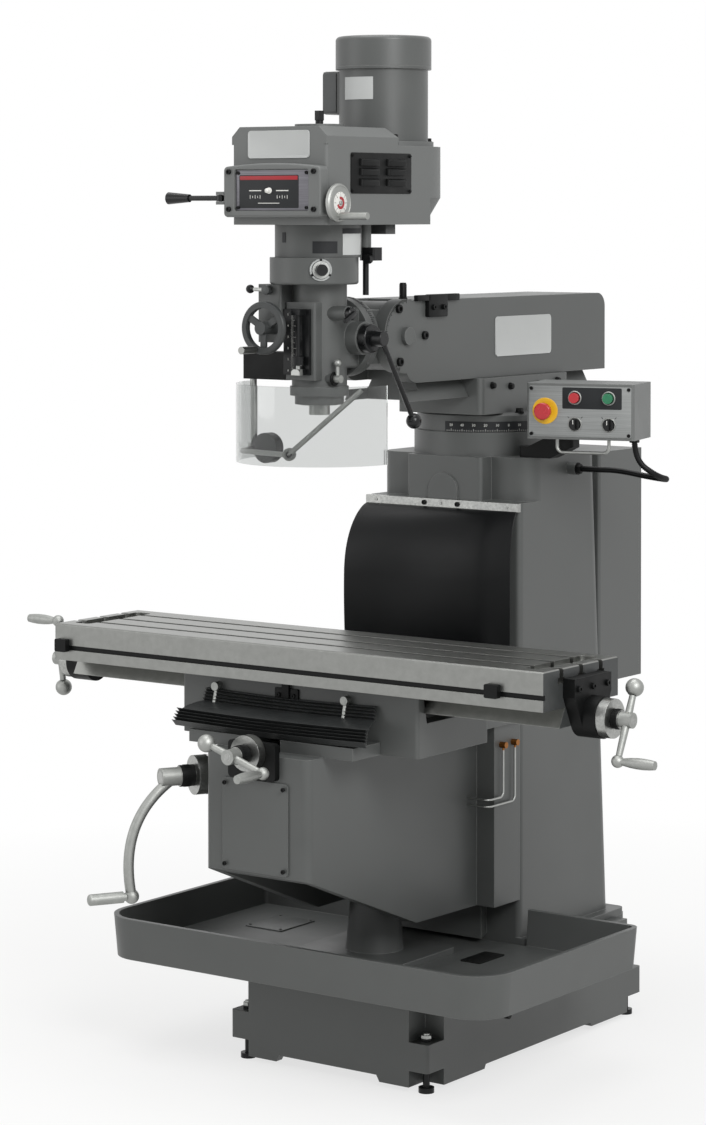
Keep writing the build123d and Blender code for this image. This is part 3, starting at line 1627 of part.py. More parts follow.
# Feed lever on the pinion shaft
lever_dir = (0, cos(radians(lever_angle)), sin(radians(lever_angle)))
rod_origin = (pinion_boss_reach + lever_rod_plane, pinion_y, nod_z)
with BuildPart() as feed_lever:
    with BuildSketch(Plane.YZ.offset(pinion_boss_reach + slide_gap)):
        with Locations((pinion_y, nod_z)):
            Circle(lever_hub_radius)
    extrude(amount=lever_hub_length)
    fillet(feed_lever.faces().sort_by(Axis.X)[-1].edges(), lever_hub_edge)
    with BuildSketch(Plane.YZ.offset(pinion_boss_reach + slide_gap + lever_hub_length)):
        with Locations((pinion_y, nod_z)):
            Circle(lever_nose_radius)
    extrude(amount=lever_nose_length)
    fillet(feed_lever.faces().sort_by(Axis.X)[-1].edges(), lever_nose_edge)
    with BuildSketch(Plane.YZ.offset(pinion_boss_reach + slide_gap)):
        with Locations((pinion_y, nod_z)):
            Circle(lever_shaft_radius)
    extrude(amount=-lever_shaft_length)
    with BuildSketch(Plane(origin=rod_origin, x_dir=(1, 0, 0), z_dir=lever_dir)):
        Circle(lever_rod_radius)
    extrude(amount=lever_length)
    with Locations(Plane(origin=rod_origin, x_dir=(1, 0, 0), z_dir=lever_dir).offset(lever_length)):
        Sphere(lever_ball)
feed_lever.part.label = "feed_lever"
export_step(feed_lever.part, "parts/feed_lever.step")

# Fine feed handwheel
wheel_face = spindle_y - feed_block_front
with BuildPart() as feed_handwheel:
    with BuildSketch(Plane.XZ.offset(-wheel_face + slide_gap)):
        with Locations((wheel_x, nod_z + wheel_rise)):
            Circle(wheel_hub_radius)
    extrude(amount=wheel_out + wheel_hub_length / 2)
    with BuildSketch(Plane.XZ.offset(-wheel_face + slide_gap)):
        with Locations((wheel_x, nod_z + wheel_rise)):
            Circle(wheel_shaft_radius)
    extrude(amount=-wheel_shaft_length)
    with BuildSketch(Plane.XZ.offset(-wheel_face + wheel_out - wheel_rim)):
        with Locations((wheel_x, nod_z + wheel_rise)):
            Circle(wheel_radius + wheel_rim)
            Circle(wheel_radius - wheel_rim, mode=Mode.SUBTRACT)
    extrude(amount=2 * wheel_rim)
    fillet(feed_handwheel.edges().filter_by(GeomType.CIRCLE).group_by(SortBy.RADIUS)[-1], wheel_edge)
    with BuildSketch(Plane.XZ.offset(-wheel_face + wheel_out - wheel_web / 2)):
        with Locations((wheel_x, nod_z + wheel_rise)):
            with PolarLocations(0, 3, start_angle=30):
                Rectangle(wheel_radius, wheel_spoke, align=(Align.MIN, Align.CENTER))
    extrude(amount=wheel_web)
    with BuildSketch(Plane.XZ.offset(-wheel_face + wheel_out)):
        with Locations((wheel_x, nod_z + wheel_rise)):
            with PolarLocations(wheel_radius, 1, start_angle=wheel_grip_angle):
                Circle(wheel_grip_neck)
    extrude(amount=wheel_grip_length)
    with BuildSketch(Plane.XZ.offset(-wheel_face + wheel_out + wheel_rim + wheel_grip_gap)):
        with Locations((wheel_x, nod_z + wheel_rise)):
            with PolarLocations(wheel_radius, 1, start_angle=wheel_grip_angle):
                Circle(wheel_grip_radius)
    extrude(amount=wheel_grip_length - wheel_rim - wheel_grip_gap)
feed_handwheel.part.label = "feed_handwheel"
export_step(feed_handwheel.part, "parts/feed_handwheel.step")

# Range lever on its upright pin
rod_end = ear_x - range_rod_length
with BuildPart() as range_lever:
    with BuildSketch(Plane.XY.offset(ear_z - ear_gap / 2 + slide_gap)):
        with Locations((ear_x, ear_y)):
            Circle(range_hub_radius)
    extrude(amount=ear_gap - 2 * slide_gap)
    with BuildSketch(Plane.XY.offset(ear_z - ear_gap / 2 - ear_thickness)):
        with Locations((ear_x, ear_y)):
            Circle(range_pin_radius)
    extrude(amount=ear_gap + 2 * ear_thickness)
    with BuildSketch(Plane.YZ.offset(ear_x)):
        with Locations((ear_y, ear_z)):
            Circle(range_rod_radius)
    extrude(amount=-range_rod_length)
    with BuildSketch(Plane.YZ.offset(rod_end)):
        with Locations((ear_y, ear_z)):
            Circle(range_knob_small)
    with BuildSketch(Plane.YZ.offset(rod_end - range_knob_length)):
        with Locations((ear_y, ear_z)):
            Circle(range_knob_large)
    loft()
range_lever.part.label = "range_lever"
export_step(range_lever.part, "parts/range_lever.step")

# Speed wheel on the right of the belt housing
speed_y = belt_face + speed_wheel_back
speed_z = belt_bottom + speed_wheel_rise
speed_rear = max(panel_width / 2, belt_half_width) + speed_wheel_clear
with BuildPart() as speed_wheel:
    with BuildSketch(Plane.YZ.offset(belt_half_width + slide_gap)):
        with Locations((speed_y, speed_z)):
            Circle(speed_hub_radius)
    extrude(amount=speed_rear + speed_wheel_face / 2 - belt_half_width)
    with BuildSketch(Plane.YZ.offset(belt_half_width + slide_gap)):
        with Locations((speed_y, speed_z)):
            Circle(speed_shaft_radius)
    extrude(amount=-speed_shaft_length)
    with BuildSketch(Plane.YZ.offset(speed_rear)):
        with Locations((speed_y, speed_z)):
            Circle(speed_wheel_radius)
    extrude(amount=speed_wheel_face)
    fillet(speed_wheel.edges().filter_by(GeomType.CIRCLE).group_by(SortBy.RADIUS)[-1], speed_wheel_edge)
    with BuildSketch(Plane.YZ.offset(speed_rear + speed_wheel_face)):
        with Locations((speed_y, speed_z - speed_wheel_radius + speed_grip_inset)):
            Circle(speed_grip_radius)
    extrude(amount=speed_grip_length)
speed_wheel.part.label = "speed_wheel"
export_step(speed_wheel.part, "parts/speed_wheel.step")

# Quill lock
lock_y = spindle_y - lock_forward
lock_z = nod_z - lock_drop
with BuildPart() as quill_lock:
    with BuildSketch(Plane.YZ.offset(housing_radius + slide_gap)):
        with Locations((lock_y, lock_z)):
            Circle(lock_hub_radius)
    extrude(amount=lock_hub_length)
    with BuildSketch(Plane.YZ.offset(housing_radius + slide_gap)):
        with Locations((lock_y, lock_z)):
            Circle(lock_stud_radius)
    extrude(amount=-lock_stud_length)
    with BuildSketch(Plane.XY.offset(lock_z)):
        with Locations((housing_radius + lock_hub_length / 2, lock_y)):
            Circle(lock_rod_radius)
    extrude(amount=lock_rod_length)
    with Locations((housing_radius + lock_hub_length / 2, lock_y, lock_z + lock_rod_length)):
        Sphere(lock_ball)
quill_lock.part.label = "quill_lock"
export_step(quill_lock.part, "parts/quill_lock.step")

# Feed rate knob on the gear case
with BuildPart() as feed_knob:
    with BuildSketch(knob_seat.offset(slide_gap)):
        Circle(knob_flange_radius)
    extrude(amount=knob_flange_height)
    with BuildSketch(knob_seat.offset(slide_gap + knob_flange_height)):
        Circle(knob_radius)
    extrude(amount=knob_height)
    with BuildSketch(knob_seat.offset(slide_gap)):
        Circle(knob_stud_radius)
    extrude(amount=-knob_stud_length)
feed_knob.part.label = "feed_knob"
export_step(feed_knob.part, "parts/feed_knob.step")

# Feed trip lever on the feed block
trip_x = feed_block_right - trip_inset
trip_z = nod_z + trip_rise
trip_dir = (cos(radians(trip_rod_angle)), 0, sin(radians(trip_rod_angle)))
trip_origin = (trip_x, wheel_face - slide_gap - trip_hub_length / 2, trip_z)
with BuildPart() as trip_lever:
    with BuildSketch(Plane.XZ.offset(-wheel_face + slide_gap)):
        with Locations((trip_x, trip_z)):
            Circle(trip_hub_radius)
    extrude(amount=trip_hub_length)
    with BuildSketch(Plane.XZ.offset(-wheel_face + slide_gap)):
        with Locations((trip_x, trip_z)):
            Circle(trip_stud_radius)
    extrude(amount=-trip_stud_length)
    with BuildSketch(Plane(origin=trip_origin, x_dir=(0, 1, 0), z_dir=trip_dir)):
        Circle(trip_rod_radius)
    extrude(amount=trip_rod_length)
    with Locations(Plane(origin=trip_origin, x_dir=(0, 1, 0), z_dir=trip_dir).offset(trip_rod_length)):
        Sphere(trip_ball)
trip_lever.part.label = "trip_lever"
export_step(trip_lever.part, "parts/trip_lever.step")

# Guard frame: post, clamping knob and the bent bar that carries the shield
shield_top = nod_z - shield_top_drop
shield_bottom = shield_top - shield_height
post_bottom = block_low - guard_post_length
bar_radius = shield_radius - shield_thickness - guard_arm_radius - slide_gap
bar_low = shield_bottom + guard_arm_rise
with BuildPart() as guard_frame:
    with BuildSketch(Plane.XY.offset(block_low + guard_block_height)):
        with Locations((post_gx, guard_y)):
            Circle(guard_post_radius)
    extrude(amount=-guard_block_height - guard_post_length)
    with Locations((post_gx, guard_y, bar_low)):
        Box(guard_clamp, guard_clamp, guard_clamp)
    with BuildSketch(Plane.XZ.offset(-guard_y)):
        with Locations((post_gx + guard_knob_across, bar_low)):
            Circle(guard_knob_radius)
    extrude(amount=guard_knob_length / 2, both=True)
    with BuildLine() as bar_path:
        FilletPolyline(
            (post_gx, guard_y, bar_low),
            (-bar_radius * cos(radians(50)), spindle_y - bar_radius * sin(radians(50)), bar_low),
            (bar_radius * cos(radians(76)), spindle_y - bar_radius * sin(radians(76)), bar_low),
            (bar_radius * cos(radians(22)), spindle_y - bar_radius * sin(radians(22)), shield_top - 8),
            radius=guard_arm_bend,
        )
    with BuildSketch(Plane(origin=bar_path.line @ 0, z_dir=bar_path.line % 0)):
        Circle(guard_arm_radius)
    sweep()
guard_frame.part.label = "guard_frame"
export_step(guard_frame.part, "parts/guard_frame.step")

# Clear shield: half a cylinder around the cutter
with BuildPart() as guard_shield:
    with BuildSketch(Plane.XY.offset(shield_bottom)):
        with Locations((0, spindle_y)):
            Circle(shield_radius)
            Circle(shield_radius - shield_thickness, mode=Mode.SUBTRACT)
            Rectangle(
                3 * shield_radius, 2 * shield_radius, align=(Align.CENTER, Align.MIN), mode=Mode.SUBTRACT
            )
    extrude(amount=shield_height)
guard_shield.part.label = "guard_shield"
export_step(guard_shield.part, "parts/guard_shield.step")

# Knee: hollow box casting with a sloping chin, flat ways on top and the female dovetail behind
shaft_dir = (-sin(radians(shaft_swing)), -cos(radians(shaft_swing)), 0)
shaft_across = (cos(radians(shaft_swing)), -sin(radians(shaft_swing)), 0)
lift_plane = Plane(origin=(0, screw_y, shaft_height), x_dir=shaft_across, z_dir=shaft_dir)
with BuildPart() as knee:
    with BuildSketch(Plane.XY.offset(knee_bottom)):
        with BuildLine():
            Polyline(
                (-knee_front_width / 2, knee_front),
                (knee_front_width / 2, knee_front),
                (knee_rear_width / 2, flange_front),
                (-knee_rear_width / 2, flange_front),
                close=True,
            )
        make_face()
    extrude(amount=knee_side_top - knee_bottom)
    fillet(knee.faces().sort_by(Axis.Y)[0].edges().filter_by(Axis.Z), knee_side_radius)
    with BuildSketch(Plane.YZ):
        with BuildLine():
            Polyline(
                (knee_front - 1, knee_bottom - 1),
                (knee_slope_rear, knee_bottom - 1),
                (knee_slope_rear, knee_bottom),
                (knee_front, knee_chin),
                (knee_front - 1, knee_chin),
                close=True,
            )
        make_face()
    extrude(amount=way_width, both=True, mode=Mode.SUBTRACT)
    with BuildSketch(Plane.XY.offset(knee_bottom)):
        with Locations((0, flange_rear)):
            Rectangle(flange_width, flange_depth, align=(Align.CENTER, Align.MAX))
    extrude(amount=way_top - knee_bottom)
    with BuildSketch(Plane.XY.offset(knee_side_top)):
        with Locations((0, flange_rear)):
            Rectangle(way_width, flange_rear - way_front, align=(Align.CENTER, Align.MAX))
    extrude(amount=way_height)
    with BuildSketch(lift_plane):
        Circle(knee_boss_radius)
    extrude(amount=knee_boss_reach)
    with BuildSketch(Plane.XY.offset(knee_bottom)):
        with Locations((0, cavity_rear)):
            Rectangle(cavity_width, cavity_rear - cavity_front, align=(Align.CENTER, Align.MAX))
    extrude(amount=cavity_roof - knee_bottom, mode=Mode.SUBTRACT)
    with BuildSketch(Plane.XY.offset(cavity_roof)):
        with Locations((0, screw_y)):
            Circle(screw_boss_radius)
    extrude(amount=-screw_boss_height)
    with BuildSketch(Plane.XY.offset(cavity_roof - screw_boss_height)):
        with Locations((0, screw_y)):
            Circle(screw_radius + running_gap)
    extrude(amount=screw_boss_height, mode=Mode.SUBTRACT)
    with BuildSketch(Plane.XY.offset(way_top)):
        with Locations((0, channel_rear)):
            Rectangle(2 * channel_half, channel_rear - knee_front, align=(Align.CENTER, Align.MAX))
    extrude(amount=-channel_depth, mode=Mode.SUBTRACT)
    with BuildSketch(Plane.XY.offset(knee_bottom)):
        with BuildLine():
            Polyline(
                (-ridge_root / 2 - slide_gap, column_front),
                (-ridge_tip / 2 - slide_gap, ridge_front - slide_gap),
                (ridge_tip / 2 + slide_gap, ridge_front - slide_gap),
                (ridge_root / 2 + slide_gap, column_front),
                close=True,
            )
        make_face()
    extrude(amount=way_top - knee_bottom, mode=Mode.SUBTRACT)
    with BuildSketch(lift_plane):
        Circle(lift_shaft_radius + running_gap)
    extrude(amount=knee_boss_reach, mode=Mode.SUBTRACT)
knee.part.label = "knee"
export_step(knee.part, "parts/knee.step")

# Cover plate on the knee's front
with BuildPart() as knee_cover:
    with BuildSketch(Plane.XZ.offset(-knee_front)):
        with Locations((0, knee_chin + knee_cover_rise + knee_cover_height / 2)):
            RectangleRounded(knee_cover_width, knee_cover_height, knee_cover_corner)
    extrude(amount=knee_cover_thickness)
knee_cover.part.label = "knee_cover"
export_step(knee_cover.part, "parts/knee_cover.step")

# Bracket that carries the cross screw's outer bearing
bracket_face = knee_front - bracket_thickness
with BuildPart() as cross_bracket:
    with BuildSketch(Plane.XZ.offset(-knee_front)):
        with Locations((0, way_top + bracket_over - bracket_height / 2)):
            RectangleRounded(bracket_width, bracket_height, bracket_corner)
        with Locations((0, cross_height)):
            Circle(cross_radius + running_gap, mode=Mode.SUBTRACT)
    extrude(amount=bracket_thickness)
cross_bracket.part.label = "cross_bracket"
export_step(cross_bracket.part, "parts/cross_bracket.step")

# Oil lines: two fittings on the knee's flange with pipes to the side wall
wall_slope = (knee_rear_width - knee_front_width) / 2 / (flange_front - knee_front)
oil_wall = knee_front_width / 2 + wall_slope * (oil_turn_y + oil_radius - knee_front) + slide_gap
oil_x = flange_width / 2 + oil_out
oil_top = way_top - oil_drop
oil_low = oil_top - oil_fall
with BuildPart() as oil_lines:
    with BuildSketch(Plane.YZ.offset(flange_width / 2)):
        with Locations((oil_front_y, oil_top), (oil_front_y + oil_apart, oil_top)):
            Circle(fitting_radius)
    extrude(amount=fitting_length)
    with BuildLine() as front_pipe:
        FilletPolyline(
            (oil_x, oil_front_y, oil_top),
            (oil_x, oil_front_y, oil_low),
            (oil_x, oil_turn_y, oil_low),
            (oil_wall, oil_turn_y, oil_low),
            radius=oil_bend,
        )
    with BuildSketch(Plane(origin=front_pipe.line @ 0, z_dir=front_pipe.line % 0)):
        Circle(oil_radius)
    sweep(path=front_pipe.line)
    with BuildLine() as rear_pipe:
        FilletPolyline(
            (oil_x, oil_front_y + oil_apart, oil_top),
            (oil_x, oil_front_y + oil_apart, oil_low - oil_low_step),
            (oil_x, oil_turn_y, oil_low - oil_low_step),
            (oil_wall, oil_turn_y, oil_low - oil_low_step),
            radius=oil_bend,
        )
    with BuildSketch(Plane(origin=rear_pipe.line @ 0, z_dir=rear_pipe.line % 0)):
        Circle(oil_radius)
    sweep(path=rear_pipe.line)
oil_lines.part.label = "oil_lines"
export_step(oil_lines.part, "parts/oil_lines.step")

# Bellows stack at the front of the knee's ways
with BuildPart() as knee_bellows:
    with BuildSketch(Plane.XY.offset(way_top)):
        with Locations((0, bellows_front)):
            Rectangle(bellows_width, bellows_depth, align=(Align.CENTER, Align.MIN))
    extrude(amount=bellows_height)
knee_bellows.part.label = "knee_bellows"
export_step(knee_bellows.part, "parts/knee_bellows.step")

# Elevating screw
with BuildPart() as elevating_screw:
    with BuildSketch(Plane.XY.offset(screw_start)):
        with Locations((0, screw_y)):
            Circle(screw_radius)
    extrude(amount=cavity_roof - slide_gap - screw_start)
elevating_screw.part.label = "elevating_screw"
export_step(elevating_screw.part, "parts/elevating_screw.step")

# Elevating shaft with its dial and clutch
lift_hub_start = lift_dial_start + lift_dial_length + lift_clutch_length
with BuildPart() as elevating_shaft:
    with BuildSketch(lift_plane.offset(lift_shaft_start)):
        Circle(lift_shaft_radius)
    extrude(amount=lift_hub_start + lift_hub_length - lift_shaft_start)
    with BuildSketch(lift_plane.offset(lift_dial_start)):
        Circle(lift_dial_radius)
    extrude(amount=lift_dial_length)
    with BuildSketch(lift_plane.offset(lift_dial_start + lift_dial_length)):
        Circle(lift_clutch_radius)
    extrude(amount=lift_clutch_length)
elevating_shaft.part.label = "elevating_shaft"
export_step(elevating_shaft.part, "parts/elevating_shaft.step")

# Elevating crank: hub, long dished arm and turned grip
crank_plane = lift_plane.offset(lift_hub_start)
arm_start = crank_plane.from_local_coords(Vector(0, -lift_hub_radius / 2, lift_hub_length / 2))
arm_bend = crank_plane.from_local_coords(Vector(0, -lift_shoulder, lift_shoulder_out))
arm_end = crank_plane.from_local_coords(Vector(0, -lift_reach, lift_hub_length / 2 + lift_dish))
with BuildPart() as elevating_crank:
    with BuildSketch(crank_plane):
        Circle(lift_hub_radius)
        Circle(lift_shaft_radius + running_gap, mode=Mode.SUBTRACT)
    extrude(amount=lift_hub_length)
    with BuildLine() as arm_path:
        Spline(arm_start, arm_bend, arm_end)
    with BuildSketch(Plane(origin=arm_start, z_dir=arm_path.line % 0)):
        Circle(lift_arm_radius)
    sweep(path=arm_path.line)
    with BuildSketch(crank_plane):
        Circle(lift_shaft_radius + running_gap)
    extrude(amount=2 * lift_hub_length, mode=Mode.SUBTRACT)
    with Locations(arm_end):
        Sphere(lift_eye)
    with BuildSketch(Plane(origin=arm_end, x_dir=shaft_across, z_dir=shaft_dir)):
        Circle(lift_grip_neck)
    extrude(amount=lift_grip_length)
    with BuildSketch(Plane(origin=arm_end, x_dir=shaft_across, z_dir=shaft_dir).offset(lift_grip_start)):
        Circle(lift_grip_radius)
    extrude(amount=lift_grip_length - lift_grip_start)
    fillet(elevating_crank.edges().filter_by(GeomType.CIRCLE).sort_by(Axis.Y)[0], lift_grip_edge)
elevating_crank.part.label = "elevating_crank"
export_step(elevating_crank.part, "parts/elevating_crank.step")

# Saddle: bridges the knee's ways, carries the table's dovetail slot and both nuts
with BuildPart() as saddle:
    with BuildSketch(Plane.XY.offset(saddle_bottom - saddle_skirt)):
        with Locations((0, saddle_front)):
            Rectangle(saddle_width, saddle_rear - saddle_front, align=(Align.CENTER, Align.MIN))
    extrude(amount=saddle_top - saddle_bottom + saddle_skirt)
    fillet(saddle.edges().filter_by(Axis.Z), saddle_edge)
    with BuildSketch(Plane.XZ.offset(-saddle_front)):
        with Locations((0, saddle_bottom)):
            Rectangle(way_width + 2 * slide_gap, 2 * saddle_skirt, align=(Align.CENTER, Align.MAX))
    extrude(amount=saddle_front - saddle_rear, mode=Mode.SUBTRACT)
    with BuildSketch(Plane.XY.offset(saddle_bottom)):
        with Locations((0, cross_nut_y)):
            Rectangle(2 * cross_nut_half, cross_nut_length)
    extrude(amount=-cross_nut_depth)
    with BuildSketch(Plane.XZ.offset(-cross_nut_y)):
        with Locations((0, cross_height)):
            Circle(cross_radius + running_gap)
    extrude(amount=cross_nut_length, both=True, mode=Mode.SUBTRACT)
    with BuildSketch(Plane.YZ):
        with BuildLine():
            Polyline(
                (table_y - dovetail_root / 2 - slide_gap, saddle_top),
                (table_y - dovetail_tip / 2 - slide_gap, dovetail_bottom - slide_gap),
                (table_y + dovetail_tip / 2 + slide_gap, dovetail_bottom - slide_gap),
                (table_y + dovetail_root / 2 + slide_gap, saddle_top),
                close=True,
            )
        make_face()
    extrude(amount=saddle_width, both=True, mode=Mode.SUBTRACT)
    with BuildSketch(Plane.YZ.offset(saddle_width / 2)) as relief:
        with BuildLine():
            Polyline(
                (saddle_front + relief_front, saddle_top),
                (saddle_front + relief_front + (relief_top - relief_bottom) / 2, saddle_top - relief_drop),
                (saddle_front + relief_front + (relief_top + relief_bottom) / 2, saddle_top - relief_drop),
                (saddle_front + relief_front + relief_top, saddle_top),
                close=True,
            )
        make_face()
    extrude(amount=-relief_depth, mode=Mode.SUBTRACT)
    extrude(relief.sketch.moved(Location((-saddle_width, 0, 0))), amount=relief_depth, mode=Mode.SUBTRACT)
    with BuildSketch(Plane.XY.offset(dovetail_bottom - slide_gap)):
        with Locations((0, table_y)):
            Rectangle(table_nut_length, 2 * table_nut_half)
    extrude(amount=table_nut_height)
    with BuildSketch(Plane.YZ):
        with Locations((table_y, lead_height)):
            Circle(lead_radius + running_gap)
    extrude(amount=table_nut_length, both=True, mode=Mode.SUBTRACT)
    with BuildSketch(Plane.XZ.offset(-saddle_front)):
        with Locations((lock_left_x, table_lock_height), (lock_right_x, table_lock_height)):
            Circle(table_lock_stud + running_gap)
    extrude(amount=-table_lock_stud_length - 1, mode=Mode.SUBTRACT)
saddle.part.label = "saddle"
export_step(saddle.part, "parts/saddle.step")


def lock_lever(lever_x):
    start = Vector(lever_x, saddle_front - slide_gap - table_lock_hub_length / 2, table_lock_height)
    end = start + Vector(0, -table_lock_lean, -table_lock_length)
    with BuildPart() as lever:
        with BuildSketch(Plane.XZ.offset(-saddle_front + slide_gap)):
            with Locations((lever_x, table_lock_height)):
                Circle(table_lock_hub)
        extrude(amount=table_lock_hub_length)
        with BuildSketch(Plane.XZ.offset(-saddle_front + slide_gap)):
            with Locations((lever_x, table_lock_height)):
                Circle(table_lock_stud)
        extrude(amount=-table_lock_stud_length)
        with BuildSketch(Plane(origin=start, z_dir=end - start)):
            Circle(table_lock_rod)
        extrude(amount=(end - start).length)
        with Locations(Plane(origin=end, z_dir=end - start)):
            Sphere(table_lock_ball)
    return lever


# Table lock levers on the saddle's front
saddle_lock_left = lock_lever(lock_left_x)
saddle_lock_left.part.label = "saddle_lock_left"
export_step(saddle_lock_left.part, "parts/saddle_lock_left.step")

saddle_lock_right = lock_lever(lock_right_x)
saddle_lock_right.part.label = "saddle_lock_right"
export_step(saddle_lock_right.part, "parts/saddle_lock_right.step")

# Cross screw with its dial and clutch
cross_dial_face = bracket_face - slide_gap - cross_dial_length
cross_stub = cross_dial_face - cross_clutch_length
with BuildPart() as cross_screw:
    with BuildSketch(Plane.XZ.offset(-cross_rear)):
        with Locations((0, cross_height)):
            Circle(cross_radius)
    extrude(amount=cross_rear - cross_dial_face)
    with BuildSketch(Plane.XZ.offset(-bracket_face + slide_gap)):
        with Locations((0, cross_height)):
            Circle(cross_dial_radius)
    extrude(amount=cross_dial_length)
    with BuildSketch(Plane.XZ.offset(-cross_dial_face)):
        with Locations((0, cross_height)):
            Circle(cross_clutch_radius)
    extrude(amount=cross_clutch_length)
    with BuildSketch(Plane.XZ.offset(-cross_stub)):
        with Locations((0, cross_height)):
            Circle(cross_stub_radius)
    extrude(amount=crank_hub_length)
cross_screw.part.label = "cross_screw"
export_step(cross_screw.part, "parts/cross_screw.step")


def ball_crank(stub_radius):
    with BuildPart() as crank:
        with BuildSketch():
            Circle(crank_hub_radius)
        extrude(amount=crank_hub_length)
        with BuildSketch(Plane.XZ):
            with BuildLine():
                Polyline(
                    (-crank_ball_reach, crank_hub_length / 2),
                    (-crank_ball_reach, crank_hub_length / 2 + crank_arm_tip),
                    (0, crank_hub_length / 2 + crank_arm_radius),
                    (crank_reach, crank_hub_length / 2 + crank_arm_tip),
                    (crank_reach, crank_hub_length / 2),
                    close=True,
                )
            make_face()
        revolve(axis=Axis((0, 0, crank_hub_length / 2), (1, 0, 0)))
        with Locations((-crank_ball_reach, 0, crank_hub_length / 2)):
            Sphere(crank_ball_radius)
        with Locations((crank_reach, 0, crank_hub_length / 2)):
            Sphere(crank_eye_radius)
        with BuildSketch(Plane.XZ):
            with BuildLine():
                swell = Spline(
                    (crank_reach + crank_grip_neck, crank_hub_length / 2 + crank_eye_radius),
                    (crank_reach + crank_grip_radius, crank_hub_length / 2 + 0.5 * crank_grip_length),
                    (crank_reach + crank_grip_end, crank_hub_length / 2 + crank_grip_length),
                )
                Line(swell @ 1, (crank_reach, crank_hub_length / 2 + crank_grip_length))
                Line((crank_reach, crank_hub_length / 2 + crank_grip_length), (crank_reach, crank_hub_length / 2))
                Line((crank_reach, crank_hub_length / 2), (crank_reach + crank_grip_neck, crank_hub_length / 2))
                Line((crank_reach + crank_grip_neck, crank_hub_length / 2), swell @ 0)
            make_face()
        revolve(axis=Axis((crank_reach, 0, 0), (0, 0, 1)))
        with BuildSketch():
            Circle(stub_radius + running_gap)
        extrude(amount=crank_hub_length, mode=Mode.SUBTRACT)
    return crank.part


# Cross feed ball crank
cross_crank_shape = ball_crank(cross_stub_radius)
with BuildPart() as cross_crank:
    with Locations(Plane(origin=(0, cross_stub, cross_height), x_dir=(1, 0, 0), z_dir=(0, -1, 0))):
        add(cross_crank_shape, rotation=(0, 0, cross_crank_angle))
cross_crank.part.label = "cross_crank"
export_step(cross_crank.part, "parts/cross_crank.step")

# Table: T-slotted top, trip groove in front, chip wells at the ends and the dovetail below
with BuildPart() as table:
    with BuildSketch(Plane.XY.offset(table_bottom)):
        with Locations((0, table_y)):
            Rectangle(table_length, table_width)
    extrude(amount=table_thickness)
    chamfer(table.faces().sort_by(Axis.Z)[-1].edges(), table_edge)
    with BuildSketch(Plane.YZ):
        with BuildLine():
            Polyline(
                (table_y - dovetail_root / 2, table_bottom),
                (table_y - dovetail_tip / 2, dovetail_bottom),
                (table_y + dovetail_tip / 2, dovetail_bottom),
                (table_y + dovetail_root / 2, table_bottom),
                close=True,
            )
        make_face()
        with Locations((table_y, dovetail_bottom)):
            Rectangle(
                trough_width, dovetail_height, align=(Align.CENTER, Align.MIN), mode=Mode.SUBTRACT
            )
    extrude(amount=table_length / 2, both=True)
    with BuildSketch(Plane.YZ):
        with Locations((table_y, table_bottom)):
            Rectangle(trough_width, trough_rise, align=(Align.CENTER, Align.MIN))
    extrude(amount=table_length, both=True, mode=Mode.SUBTRACT)
    with BuildSketch(Plane.YZ):
        with Locations((table_y, table_top)):
            with GridLocations(slot_pitch, 0, 3, 1):
                Rectangle(slot_neck, slot_neck_depth, align=(Align.CENTER, Align.MAX))
        with Locations((table_y, table_top - slot_neck_depth)):
            with GridLocations(slot_pitch, 0, 3, 1):
                Rectangle(slot_tee, slot_tee_height, align=(Align.CENTER, Align.MAX))
    extrude(amount=table_length, both=True, mode=Mode.SUBTRACT)
    with BuildSketch(Plane.YZ):
        with Locations((table_front, table_top - groove_drop)):
            Rectangle(groove_depth, groove_height, align=(Align.MIN, Align.MAX))
    extrude(amount=table_length, both=True, mode=Mode.SUBTRACT)
    with BuildSketch(Plane.XY.offset(table_top)):
        with Locations((0, table_y)):
            with GridLocations(table_length - 2 * well_inset - well_length, 0, 2, 1):
                RectangleRounded(well_length, table_width - 2 * well_margin, well_corner)
    extrude(amount=-well_depth, mode=Mode.SUBTRACT)
table.part.label = "table"
export_step(table.part, "parts/table.step")

# End brackets of the table with the screw's bearings
bearing_face = table_length / 2 + end_bracket_thickness + end_bearing_length
with BuildPart() as table_brackets:
    with BuildSketch(Plane.YZ.offset(table_length / 2)):
        with Locations((table_y, lead_height)):
            Circle(end_bearing_radius)
        with Locations((table_y, table_top - end_bracket_top)):
            Rectangle(end_bracket_width, end_bracket_straight, align=(Align.CENTER, Align.MAX))
        make_hull()
    extrude(amount=end_bracket_thickness)
    with BuildSketch(Plane.YZ.offset(table_length / 2 + end_bracket_thickness)):
        with Locations((table_y, lead_height)):
            Circle(end_bearing_radius)
    extrude(amount=end_bearing_length)
    with BuildSketch(Plane.YZ.offset(table_length / 2)):
        with Locations((table_y, lead_height)):
            Circle(lead_radius + running_gap)
    extrude(amount=table_length, mode=Mode.SUBTRACT)
    mirror(about=Plane.YZ)
table_brackets.part.label = "table_brackets"
export_step(table_brackets.part, "parts/table_brackets.step")

# Trip dogs clamped in the table's front groove
with BuildPart() as trip_dogs:
    with BuildSketch(Plane.XZ.offset(-table_front)):
        with Locations((dog_left_x, table_top - groove_drop), (dog_right_x, table_top - groove_drop)):
            RectangleRounded(dog_length, dog_height, dog_corner)
    extrude(amount=dog_out)
    with BuildSketch(Plane.XZ.offset(-table_front)):
        with Locations(
            (dog_left_x, table_top - groove_drop - groove_height / 2),
            (dog_right_x, table_top - groove_drop - groove_height / 2),
        ):
            Rectangle(dog_length, groove_height - 2 * thread_gap)
    extrude(amount=-dog_tongue)
trip_dogs.part.label = "trip_dogs"
export_step(trip_dogs.part, "parts/trip_dogs.step")

